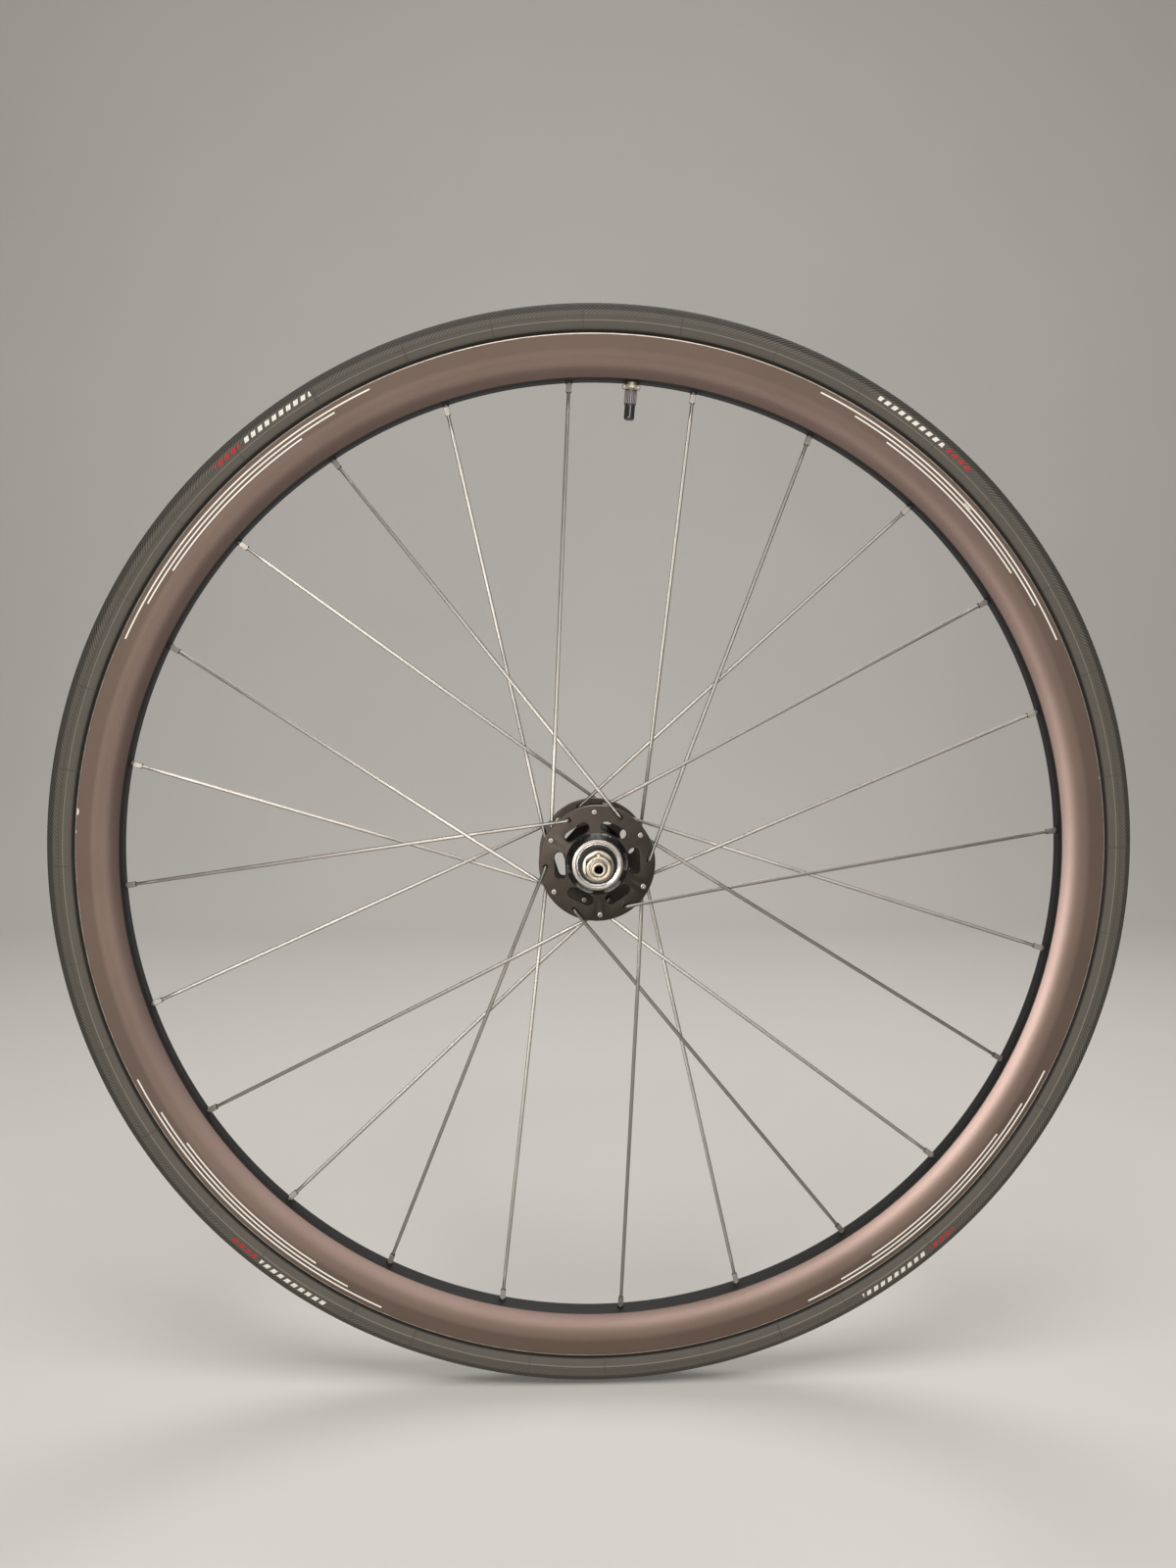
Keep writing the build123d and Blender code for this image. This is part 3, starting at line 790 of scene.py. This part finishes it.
def repeat_tree():
    """Geometry nodes that spread copies of a piece evenly round the Y axis."""
    known = bpy.data.node_groups.get("repeat_round_axis")
    if known:
        return known
    tree = bpy.data.node_groups.new("repeat_round_axis", "GeometryNodeTree")
    tree.interface.new_socket("Piece", in_out="INPUT", socket_type="NodeSocketGeometry")
    tree.interface.new_socket("Count", in_out="INPUT", socket_type="NodeSocketInt")
    tree.interface.new_socket("Finish", in_out="INPUT", socket_type="NodeSocketMaterial")
    tree.interface.new_socket("Copies", in_out="OUTPUT", socket_type="NodeSocketGeometry")
    graph = Graph(tree)
    given = graph.node("NodeGroupInput", {}, {})
    count = given.output("Count")
    points = graph.node("GeometryNodePoints", {}, {"Count": count})
    turn = graph.node("GeometryNodeInputIndex", {}, {}) * full_turn / count
    rotation = graph.node("FunctionNodeAxisAngleToRotation", {}, {"Axis": (0, -1, 0), "Angle": turn})
    copies = graph.node("GeometryNodeInstanceOnPoints", {}, {
        "Points": points, "Instance": given.output("Piece"), "Rotation": rotation})
    real = graph.node("GeometryNodeRealizeInstances", {}, {"Geometry": copies})
    coated = graph.node("GeometryNodeSetMaterial", {}, {"Geometry": real, "Material": given.output("Finish")})
    graph.node("NodeGroupOutput", {}, {"Copies": coated})
    return tree


def repeat(piece, slot, count):
    """Turn a piece into copies of itself, spread evenly round the Y axis."""
    modifier = piece.modifiers.new("repeat", "NODES")
    modifier.node_group = repeat_tree()
    wanted = {"Count": count, "Finish": finish_of(slot)}
    for socket in modifier.node_group.interface.items_tree:
        if socket.name in wanted:
            modifier[socket.identifier] = wanted[socket.name]
    plain_mesh(piece)


def cut(piece, part):
    """Cut a closed part out of a piece."""
    tool = make_piece(piece.name + "_cutter", part, "seal_rubber")
    modifier = piece.modifiers.new("cut", "BOOLEAN")
    modifier.object = tool
    modifier.operation = "DIFFERENCE"
    modifier.solver = "EXACT"
    plain_mesh(piece)
    bpy.data.objects.remove(tool)


def hand_over(piece, body, slot, *nodes):
    """Attach a finished piece to its body and hide the solids that it stands for; the slot is not used."""
    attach(piece, body)
    if nodes:
        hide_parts(*nodes)


def add_piece(name, part, body, slot, *nodes, sharp=35.0, count=1, place=None):
    """A piece that is repeated round the Y axis, put into its place within its mesh and handed over."""
    piece = make_piece(name, part, slot, sharp)
    if count > 1:
        repeat(piece, slot, count)
    if place is not None:
        piece.data.transform(Matrix.Translation(place.translation * mm) @ place.to_3x3().to_4x4())
    hand_over(piece, body, slot, *nodes)


def on_tread(turn, lift):
    """Radius and place of a point of the tread's arc, turned from the crown, lifted off the surface."""
    reach = tread_arc_radius + lift
    return tread_arc_centre + reach * math.cos(turn), reach * math.sin(turn)


def round_axle(radius, place, along):
    """A point at a radius and place, moved along the circumference."""
    turn = along / radius
    return Vector((radius * math.cos(turn), place, radius * math.sin(turn)))


def both_walls(rows):
    """A closed tube through rows of (radius, place, along) points on one wall of the tyre, and its mirror."""
    pair = []
    for side in (-1, 1):
        vertices = [round_axle(radius, side * place, along) for row in rows for radius, place, along in row]
        pair.append((vertices, tube_faces(len(rows), len(rows[0]))))
    return joined_parts(pair)


def tyre_wall(radius):
    """Distance of the tyre's wall from the middle plane below the rib."""
    drop = rib_radius - radius
    return wall_top_half - wall_lean * drop - wall_curve * drop * drop


class WHEEL_OT_tyre(bpy.types.Operator):
    """Tyre with a smooth crown, slanted shoulder ridges, a moulded rib and a finely ridged bead band"""

    bl_idname = "wheel.tyre"
    bl_label = "Tyre"

    def execute(self, context):
        add_piece("tyre_casing", turned(self.outline(), 360), "wheel", "tyre_rubber", "tyre")
        for name, ridge, count in (
                ("tyre_shoulder_ridges", self.shoulder_ridge(), sizes().hatch_ridges),
                ("tyre_bead_ridges", self.bead_ridge(), sizes().bead_ridges)):
            add_piece(name, ridge, "wheel", "tyre_rubber", sharp=80.0, count=count)
        return {"FINISHED"}

    def outline(self):
        """Section of the casing: crown, rib, wall, then the foot in the rim and the inside."""
        rib = sizes().rib_height / mm
        arc_end = math.radians(85.0)
        arc_steps = 44
        half = [on_tread(arc_end * i / arc_steps, 0) for i in range(arc_steps + 1)]
        for step in range(-5, 6):
            rise = rib * (1 + math.cos(math.pi * step / 5)) / 2
            half.append((rib_radius - step * 0.12, rib_half + rise - (0.05 if step > 0 else 0)))
        radius = rib_radius - 0.9
        while radius > tyre_gap_radius + 0.3:
            half.append((radius, tyre_wall(radius)))
            radius -= 0.5
        half += tyre_foot
        return half + [(r, -y) for r, y in reversed(half[1:])]

    def shoulder_ridge(self):
        """One slanted ridge on each shoulder, as a pair."""
        height = sizes().hatch_height / mm
        foot = sizes().hatch_width / mm / 2
        low = math.radians(24.0)
        high = math.radians(81.0)
        steps = 7
        section = ((-foot, -0.1), (-foot * 0.45, height), (foot * 0.45, height), (foot, -0.1))
        rows = []
        for i in range(steps + 1):
            turn = low + (high - low) * i / steps
            fade = min(1.0, 3 * i / steps + 0.25, 3 * (steps - i) / steps + 0.25)
            slant = tread_arc_radius * (turn - low)
            row = [(across, lift * fade if lift > 0 else lift) for across, lift in section]
            rows.append([(*on_tread(turn, lift), slant + across) for across, lift in row])
        return both_walls(rows)

    def bead_ridge(self):
        """One fine ridge on each bead band, as a pair."""
        height = sizes().bead_height / mm
        foot = 0.32
        section = ((-foot, -0.08), (0, height), (foot, -0.08))
        run = ((322.6, 0.0), (321.0, 0.7), (319.6, 1.3))
        return both_walls([
            [(radius, tyre_wall(radius) + lift, slant + across) for across, lift in section]
            for radius, slant in run])


def rim_flank(radius):
    """Half width of the rim between the flat brake track and the spoke bed."""
    share = (rim_track_radius - radius) / (rim_track_radius - rim_bed_radius)
    return rim_half - (rim_half - rim_bed_half) * share ** rim_flank_power


class WHEEL_OT_rim(bpy.types.Operator):
    """Rim with rounded lips, flat brake tracks, curved flanks and a crisp-edged spoke bed"""

    bl_idname = "wheel.rim"
    bl_label = "Rim"

    def execute(self, context):
        steps = 20
        drop = (rim_track_radius - rim_edge_radius) / steps
        flank = [rim_track_radius - drop * i for i in range(steps)]
        corners = mirrored([
            (rim_outer_radius, lip_top_half, 0.9),
            (rim_outer_radius, rim_half, 0.9),
            (rim_outer_radius - 2, rim_half, 0),
            (rim_track_radius + 1, rim_half, 0),
            *((radius, rim_flank(radius), 0) for radius in flank),
            (rim_edge_radius, rim_flank(rim_edge_radius), 0.3),
            (rim_bed_radius, rim_bed_flat_half, 2.0),
        ])
        channel = mirrored([
            (bead_seat_radius, lip_foot_half, 0.4),
            (bead_seat_radius, rim_shelf_half, 0.6),
            (rim_well_radius, rim_well_half, 0.6),
        ])
        outline = rounded(corners + [(r, -y, c) for r, y, c in channel], 7)
        add_piece("rim_profile", turned(outline, 360), "wheel", "rim_alloy", "rim")
        return {"FINISHED"}


def first_hole(side):
    """Angle of the first spoke hole of a flange, in degrees."""
    return first_near_hole if side < 0 else first_near_hole + side_stagger


def spoke_frame(outer, side):
    """Place of the first spoke of a kind: x along its run to the rim, y away from the middle."""
    hole = first_hole(side) + (0 if outer else kind_stagger)
    start = at_angle(hole_circle_radius, hole)
    end = at_angle(rim_bed_radius, hole + (crossing_angle if outer else -crossing_angle))
    along = (end - start).normalized()
    outward = Vector((0, side, 0))
    return own_frame(along, outward, along.cross(outward), start)


def spoke_span():
    """Distance from the hole to the rim bed, seen along the axle."""
    return (at_angle(rim_bed_radius, crossing_angle) - at_angle(hole_circle_radius, 0)).length


def bend_point(outer):
    """The slight bend of a spoke before its last crossing, in its own plane."""
    return Vector((bend_reach, outer_bend_height if outer else inner_bend_height))


def soft_step(value):
    """0 to 1 with a soft start and end."""
    value = min(1.0, max(0.0, value))
    return value * value * (3 - 2 * value)


def flange_faces(outer):
    """Where a spoke's head sits, where its elbow leaves the flange, and which way that is along the axle."""
    if outer:
        return flange_inner_face, flange_outer_face, 1
    return flange_outer_face, flange_inner_face, -1


def spoke_path(outer):
    """Points down the middle of a spoke in its own plane, head to tip, its elbow's end and the rim bed."""
    seat, face, away = flange_faces(outer)
    elbow_start = Vector((0, face + away * elbow_lift))
    elbow_end = Vector((elbow_reach, face + away * (elbow_lift + elbow_reach)))
    bend = bend_point(outer)
    run = (bend - elbow_end).normalized()
    corner = elbow_end - run * (elbow_end.x / run.x)
    reach = abs(corner.y - elbow_start.y)
    points = [Vector((0, seat)), Vector((0, (seat + elbow_start.y) / 2))]
    for i in range(elbow_steps + 1):
        part = i / elbow_steps
        first = elbow_start.lerp(corner, part)
        second = corner.lerp(corner + run * reach, part)
        points.append(first.lerp(second, part))
    bed = Vector((spoke_span(), 0))
    start = points[-1]
    down = (bed - bend).normalized()
    points += [start.lerp(bend - run * 5, i / 10) for i in range(1, 11)]
    points += [bend - run * 2, bend + (down - run) * 0.5, bend + down * 2]
    first = bend + down * 5
    last = bed - down * (blade_end + 1)
    points += [first.lerp(last, i / 6) for i in range(7)]
    points += [bed - down * (blade_end - i * blade_taper / 6) for i in range(7)]
    points.append(bed + down * tip_beyond_bed)
    return points, elbow_end, bed


def spoke_part(outer):
    """One spoke in its own plane: domed head, elbow, round end, flat blade and round tip."""
    points, elbow_end, bed = spoke_path(outer)
    sides = 16
    vertices = []
    for i, point in enumerate(points):
        before = points[max(0, i - 1)]
        after = points[min(len(points) - 1, i + 1)]
        direction = (after - before).normalized()
        normal = Vector((-direction.y, direction.x))
        flat = soft_step(((point - elbow_end).length - elbow_reach) / (blade_start - elbow_reach))
        if i < elbow_steps + 3:
            flat = 0.0
        flat *= 1 - soft_step((blade_end - (bed - point).length) / blade_taper)
        if point.x > bed.x - blade_end + blade_taper:
            flat = 0.0
        half_width = wire_radius + (blade_half_width - wire_radius) * flat
        half_thickness = wire_radius + (blade_half_thickness - wire_radius) * flat
        power = 2 / (2 + blade_squareness * flat)
        for k in range(sides):
            turn = full_turn * (k + 0.5) / sides
            cosine = math.cos(turn)
            sine = math.sin(turn)
            across = math.copysign(abs(cosine) ** power, cosine) * half_width
            lift = math.copysign(abs(sine) ** power, sine) * half_thickness
            place = point + normal * lift
            vertices.append(Vector((place.x, place.y, across)))
    return joined_parts([(vertices, tube_faces(len(points), sides)), head_part(outer)])


def head_part(outer):
    """Domed head of a spoke with a small dimple, seated on its flange face."""
    seat, _, away = flange_faces(outer)
    outline = rounded([
        (0, 0.25, 0),
        (head_radius * 0.62, 0.02, 0.3),
        (head_radius, 0.42, 0.35),
        (head_radius * 0.93, head_height, 0.4),
        (head_radius * 0.42, head_height * 1.08, 0.2),
        (head_radius * 0.2, head_height * 0.88, 0.15),
        (0, head_height * 0.86, 0),
    ], 3)
    vertices, faces = turned(outline, 20)
    return [Vector((v.x, seat - away * v.y, v.z)) for v in vertices], faces


class WHEEL_OT_spokes(bpy.types.Operator):
    """Bladed spokes with elbows and heads, in four sets of six round the axle"""

    bl_idname = "wheel.spokes"
    bl_label = "Spokes"

    def execute(self, context):
        for side, side_name in ((-1, "left"), (1, "right")):
            for outer, kind_name in ((True, "outer"), (False, "inner")):
                name = f"spoke_{side_name}_{kind_name}"
                part = moved(spoke_part(outer), spoke_frame(outer, side))
                nodes = [f"{name}_{i + 1}" for i in range(spokes_per_kind)]
                add_piece(name + "_set", part, "wheel", "spoke_steel", *nodes,
                          sharp=50.0, count=spokes_per_kind)
        return {"FINISHED"}


def nipple_limit(turn, place):
    """The nipple's square flats below its neck; above, the head is the widest."""
    if place < nipple_neck_start - 0.2:
        return polygon(turn, 4, 2 * nipple_flat)
    return nipple_head_radius


def nipple_part():
    """One nipple on its own Y axis: 0 is at the rim bed and y runs out through the rim."""
    outline = rounded([
        (nipple_bore_radius, nipple_flats_start + 0.35, 0),
        (nipple_bore_radius + 0.35, nipple_flats_start, 0.08),
        (nipple_corner_radius - 0.25, nipple_flats_start, 0.3),
        (nipple_corner_radius + 0.12, nipple_flats_start + 0.8, 0.2),
        (nipple_corner_radius + 0.12, nipple_neck_start - 0.35, 0.1),
        (nipple_neck_radius, nipple_neck_start, 0.1),
        (nipple_neck_radius, nipple_head_start, 0),
        (nipple_head_radius, nipple_head_start, 0.2),
        (nipple_head_radius * 0.85, nipple_head_end, 0.3),
        (nipple_bore_radius, nipple_head_end, 0),
    ], 3)
    return turned(outline, 40, nipple_limit)


def nipple_frame(outer, side):
    """Place of the nipple of the first spoke of a kind: y along the spoke, out through the rim."""
    plane = spoke_frame(outer, side)
    bed = plane @ Vector((spoke_span(), 0, 0))
    bend = bend_point(outer)
    out = (bed - plane @ Vector((bend.x, bend.y, 0))).normalized()
    across = plane.to_3x3().col[2].normalized()
    return own_frame(across, out, across.cross(out), bed)


class WHEEL_OT_nipples(bpy.types.Operator):
    """Nipples with square flats, one at the rim end of every spoke"""

    bl_idname = "wheel.nipples"
    bl_label = "Nipples"

    def execute(self, context):
        kinds = [(outer, side) for side in (-1, 1) for outer in (True, False)]
        four = joined_parts([moved(nipple_part(), nipple_frame(outer, side)) for outer, side in kinds])
        add_piece("nipple_set", four, "wheel", "nipple_plating", "nipples", count=spokes_per_kind)
        return {"FINISHED"}


def slot_outline(length, width, grow, steps=10):
    """A round-ended slot as (along, across) points, grown all round."""
    radius = width / 2 + grow
    reach = (length - width) / 2
    points = []
    for end in (1, -1):
        for i in range(steps + 1):
            turn = math.pi * (i / steps - 0.5)
            points.append((end * (reach + radius * math.cos(turn)), end * radius * math.sin(turn)))
    return points


def through_cutter(outlines, places):
    """A cutter lofted along Y through one outline for each place."""
    vertices = [Vector((x, place, z)) for outline, place in zip(outlines, places) for x, z in outline]
    return vertices, tube_faces(len(places), len(outlines[0]))


class WHEEL_OT_hub(bpy.types.Operator):
    """Hub shell with two windowed flanges, spoke holes, glossy bosses and bare end rings"""

    bl_idname = "wheel.hub"
    bl_label = "Hub shell"

    def execute(self, context):
        outline = rounded(mirrored([
            (shell_bore_radius, bearing_inner_face, 0),
            (bearing_radius, bearing_inner_face, 0),
            (bearing_radius, bearing_outer_face, 0),
            (recess_radius, bearing_outer_face, 0),
            (recess_radius, end_ring_face, 0.2),
            (end_ring_radius, end_ring_face, 0.25),
            (end_ring_radius, end_ring_start, 0.05),
            (boss_end_radius, end_ring_start, 0.3),
            (boss_base_radius, flange_outer_face, 0.5),
            (flange_radius, flange_outer_face, 0.5),
            (flange_radius, flange_inner_face, 0.4),
            (boss_base_radius, flange_inner_face, 1.0),
            (barrel_radius, barrel_half, 4.0),
        ]), 4)
        hub = make_piece("hub_body", turned(outline, 180), "hub_alloy", 40.0)
        cut(hub, joined_parts(self.cutters()))
        clean_mesh(hub.data, 40.0)
        hand_over(hub, "wheel", "hub_alloy", "hub_shell")
        return {"FINISHED"}

    def cutters(self):
        """Cutters of all windows and spoke holes, with chamfered mouths."""
        ease = 0.35
        faces = (flange_inner_face, flange_outer_face)
        places = [face + step for face in faces for step in (-ease, ease)]
        grows = (2 * ease, 0, 0, 2 * ease)
        window = [slot_outline(window_length, window_width, grow) for grow in grows]
        hole = [slot_outline(2 * hole_radius, 2 * hole_radius, grow * 0.5, 8) for grow in grows]
        patterns = (
            (window, window_count, window_circle_radius),
            (hole, 2 * spokes_per_kind, hole_circle_radius),
        )
        parts = []
        for side in (-1, 1):
            for outlines, count, radius in patterns:
                drawn = [[(radius - across, along) for along, across in outline] for outline in outlines]
                cutter = through_cutter(drawn, [side * place for place in places])
                for i in range(count):
                    turn = math.radians(first_hole(side)) + full_turn * i / count
                    parts.append(moved(cutter, Matrix.Rotation(-turn, 4, "Y")))
        return parts


def hexagon(turn, place):
    """The locknut's outline, with a corner up, at any place along it."""
    return polygon(turn, 6, locknut_flats)


class WHEEL_OT_axle(bpy.types.Operator):
    """Hollow axle with its collars and hexagonal locknuts"""

    bl_idname = "wheel.axle"
    bl_label = "Axle, collars and locknuts"

    def execute(self, context):
        axle_outline = rounded(mirrored([
            (axle_bore_radius, axle_half, 0.3),
            (axle_end_radius, axle_half, 0.5),
            (axle_end_radius, locknut_face, 0),
            (axle_thread_radius, locknut_face, 0.15),
            (axle_thread_radius, end_ring_face, 0),
            (bearing_bore_radius, end_ring_face, 0),
        ]), 4)
        add_piece("axle_tube", turned(axle_outline, 96), "axle", "axle_steel", "axle")
        for side, side_name in ((-1, "left"), (1, "right")):
            collar_outline = rounded([
                (bearing_bore_radius, bearing_outer_face, 0),
                (collar_neck_radius, bearing_outer_face, 0),
                (collar_neck_radius, collar_inner_face, 0.2),
                (collar_radius, collar_inner_face, 0.5),
                (collar_radius, collar_outer_face, 0.7),
                (axle_thread_radius, collar_outer_face, 0),
                (axle_thread_radius, end_ring_face, 0),
                (bearing_bore_radius, end_ring_face, 0),
            ], 4)
            collar = turned([(r, side * y) for r, y in collar_outline], 120)
            add_piece(f"collar_{side_name}", collar, "axle", "collar_alloy", f"axle_collar_{side_name}")
            corner = locknut_flats / math.sqrt(3)
            nut_outline = rounded([
                (axle_thread_radius, collar_outer_face, 0),
                (corner - 0.5, collar_outer_face, 0.2),
                (corner, collar_outer_face + 0.4, 0.1),
                (corner, locknut_face - 1.0, 0.1),
                (locknut_face_radius, locknut_face, 0.2),
                (axle_thread_radius + 0.3, locknut_face, 0.05),
                (axle_thread_radius, locknut_face - 0.3, 0),
            ], 4)
            nut = turned([(r, side * y) for r, y in nut_outline], 144, hexagon)
            name = f"locknut_{side_name}"
            add_piece(f"locknut_hex_{side_name}", nut, "axle", "locknut_steel", name, sharp=25.0)
        return {"FINISHED"}


def valve_frame():
    """Place of the valve: y runs from the rim bed to the hub."""
    inward = at_angle(-1, valve_angle)
    foot = at_angle(rim_bed_radius, valve_angle)
    across = Vector((0, 1, 0))
    return own_frame(across, inward, across.cross(inward), foot)


def upright_ridge(radius, start, end, half_width, height):
    """A ridge along Y on a cylinder, with sloping ends."""
    section = ((-half_width, -0.3), (-half_width * 0.4, 1.0), (half_width * 0.4, 1.0), (half_width, -0.3))
    run = ((start, 0.02), (start + height, height), (end - height, height), (end, 0.02))
    vertices = []
    for place, lift in run:
        for across, share in section:
            reach = radius + (lift * share if share > 0 else share * 0.3)
            vertices.append(Vector((math.sqrt(reach * reach - across * across), place, across)))
    return vertices, tube_faces(len(run), len(section))


class WHEEL_OT_valve(bpy.types.Operator):
    """Knurled lock ring and ribbed cap of the valve"""

    bl_idname = "wheel.valve"
    bl_label = "Valve lock ring and cap"

    def execute(self, context):
        ridge_height = 0.22
        ground = lock_ring_radius - ridge_height
        place = valve_frame()
        ring_outline = rounded([
            (stem_radius + 0.05, lock_ring_seat, 0),
            (lock_ring_nose_radius, lock_ring_seat, 0.2),
            (lock_ring_nose_radius, lock_ring_nose_length, 0.2),
            (ground, lock_ring_nose_length, 0.3),
            (ground, lock_ring_length - 0.7, 0.3),
            (lock_ring_radius - 1.2, lock_ring_length, 0.3),
            (stem_radius + 0.4, lock_ring_length, 0.1),
            (stem_radius + 0.05, lock_ring_length - 0.4, 0),
        ], 4)
        ring = turned(ring_outline, 72)
        add_piece("lock_ring", ring, "wheel", "valve_metal", "valve_lock_ring", place=place)
        ridge = upright_ridge(
            ground, lock_ring_nose_length + 0.15, lock_ring_length - 0.75, 0.34, ridge_height)
        count = sizes().lock_ring_ridges
        add_piece("lock_ring_knurl", ridge, "wheel", "valve_metal", sharp=30.0, count=count, place=place)
        ground = cap_skirt_radius - cap_rib_height
        cap_outline = rounded([
            (cap_bore_radius, cap_start, 0.1),
            (ground, cap_start, 0.15),
            (ground, cap_skirt_end, 0.4),
            (cap_tip_radius, cap_skirt_end + 0.9, 0.3),
            (cap_tip_radius, cap_end, 1.5),
            (0, cap_end, 0),
            (0, cap_bore_end, 0),
            (cap_tip_bore_radius, cap_bore_end, 0),
            (cap_tip_bore_radius, cap_bore_step, 0),
            (cap_bore_radius, cap_bore_step, 0),
        ], 5)
        cap = turned(cap_outline, 64)
        add_piece("valve_cap_body", cap, "valve_cap", "cap_plastic", "valve_cap", place=place)
        rib = upright_ridge(ground, cap_start + 0.3, cap_skirt_end - 0.2, 0.36, cap_rib_height)
        count = sizes().cap_ribs
        add_piece("valve_cap_ribs", rib, "valve_cap", "cap_plastic", sharp=30.0, count=count, place=place)
        return {"FINISHED"}


class WHEEL_OT_inner_pieces(bpy.types.Operator):
    """Finishes of the solids that stay as they are, inside the hub, the tyre and the valve"""

    bl_idname = "wheel.inner_pieces"
    bl_label = "Bearings, sleeve, tube, tape and valve stem"

    def execute(self, context):
        slots = {
            "axle_sleeve": "sleeve_alloy",
            "inner_tube": "tube_rubber",
            "rim_tape": "tape_plastic",
            "valve_stem": "valve_metal",
            "valve_core": "valve_metal",
        }
        for side_name in ("left", "right"):
            for place in ("outer", "inner"):
                slots[f"bearing_{place}_ring_{side_name}"] = "bearing_steel"
                slots[f"bearing_{place}_seal_{side_name}"] = "seal_rubber"
        for node, slot in slots.items():
            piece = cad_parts[node]
            for holder in piece.material_slots:
                holder.material = finish_of(slot)
        return {"FINISHED"}


class WHEEL_OT_stage(bpy.types.Operator):
    """Pale floor with a swept backdrop, soft lights and the camera"""

    bl_idname = "wheel.stage"
    bl_label = "Stage"

    def execute(self, context):
        scene = context.scene
        scene.view_settings.view_transform = "Standard"
        self.make_floor()
        self.make_world(scene)
        for light in lights:
            self.make_light(*light)
        camera = bpy.data.cameras.new("camera")
        camera.sensor_fit = "VERTICAL"
        camera.sensor_height = 24.0
        camera.lens = camera_lens
        camera.clip_start = 0.01
        viewer = bpy.data.objects.new("camera", camera)
        viewer.location = camera_place
        viewer.rotation_euler = (math.radians(camera_pitch), 0, math.radians(camera_turn))
        scene.collection.objects.link(viewer)
        scene.camera = viewer
        return {"FINISHED"}

    def make_floor(self):
        """Floor under the tyre that sweeps up into a backdrop."""
        low = cad_box[0][2] / mm
        profile = [(floor_front, low), (sweep_start, low)]
        for i in range(1, sweep_steps + 1):
            turn = math.pi / 2 * i / sweep_steps
            back = sweep_start + sweep_radius * math.sin(turn)
            profile.append((back, low + sweep_radius * (1 - math.cos(turn))))
        profile.append((sweep_start + sweep_radius, backdrop_top))
        edges = (-floor_half_width, floor_half_width)
        vertices = [Vector((x, y, z)) * mm for y, z in profile for x in edges]
        mesh = bpy.data.meshes.new("floor")
        mesh.from_pydata(vertices, [], grid_faces(len(profile), 2, False, False))
        mesh.shade_smooth()
        mesh.materials.append(finish("floor_paint", self.floor_paint))
        floor = bpy.data.objects.new("floor", mesh)
        bpy.context.scene.collection.objects.link(floor)

    def floor_paint(self, graph):
        """Even pale paint with a very faint mottle."""
        cloud = graph.noise(graph.place(), 3.0, 3.0)
        colour = graph.shades(cloud, colours().floor, 0.97, 1.02)
        return {"Base Color": colour, "Roughness": 0.9, "Specular IOR Level": 0.1}

    def make_world(self, scene):
        """Even soft light from all round."""
        world = bpy.data.worlds.new("soft_room")
        world.use_nodes = True
        world.node_tree.nodes.clear()
        graph = Graph(world.node_tree)
        light = graph.node("ShaderNodeBackground", {}, {"Color": (1.0, 0.99, 0.97, 1.0), "Strength": 0.22})
        graph.node("ShaderNodeOutputWorld", {}, {"Surface": light})
        scene.world = world

    def make_light(self, name, place, size, spread, power):
        """A square soft light that faces the wheel, with a grid that narrows its spread, in degrees."""
        lamp = bpy.data.lights.new(name, "AREA")
        lamp.size = size
        lamp.spread = math.radians(spread)
        lamp.energy = power
        lamp.color = light_tone
        holder = bpy.data.objects.new(name, lamp)
        holder.location = place
        holder.rotation_euler = (-Vector(place)).to_track_quat("-Z", "Y").to_euler()
        bpy.context.scene.collection.objects.link(holder)


makers = (
    WHEEL_OT_tyre,
    WHEEL_OT_rim,
    WHEEL_OT_spokes,
    WHEEL_OT_nipples,
    WHEEL_OT_hub,
    WHEEL_OT_axle,
    WHEEL_OT_valve,
    WHEEL_OT_inner_pieces,
    WHEEL_OT_stage,
)


class WHEEL_PT_panel(bpy.types.Panel):
    """Sizes, colours and steps of the wheel"""

    bl_idname = "WHEEL_PT_panel"
    bl_label = "Wheel"
    bl_space_type = "VIEW_3D"
    bl_region_type = "UI"
    bl_category = "Wheel"

    def draw(self, context):
        for group in (context.scene.wheel_sizes, context.scene.wheel_colours):
            box = self.layout.box()
            for name in group.__annotations__:
                box.prop(group, name)
        for maker in makers:
            self.layout.operator(maker.bl_idname)


classes = (WheelSizes, WheelColours, *makers, WHEEL_PT_panel)


def register():
    """Make the settings, the steps and the panel known."""
    for known in classes:
        bpy.utils.register_class(known)
    bpy.types.Scene.wheel_sizes = bpy.props.PointerProperty(type=WheelSizes)
    bpy.types.Scene.wheel_colours = bpy.props.PointerProperty(type=WheelColours)


def unregister():
    """Take them away again."""
    del bpy.types.Scene.wheel_colours
    del bpy.types.Scene.wheel_sizes
    for known in reversed(classes):
        bpy.utils.unregister_class(known)


def main():
    """Make every piece in order."""
    register()
    bpy.ops.wheel.tyre()
    bpy.ops.wheel.rim()
    bpy.ops.wheel.spokes()
    bpy.ops.wheel.nipples()
    bpy.ops.wheel.hub()
    bpy.ops.wheel.axle()
    bpy.ops.wheel.valve()
    bpy.ops.wheel.inner_pieces()
    bpy.ops.wheel.stage()


if __name__ == "__main__":
    main()
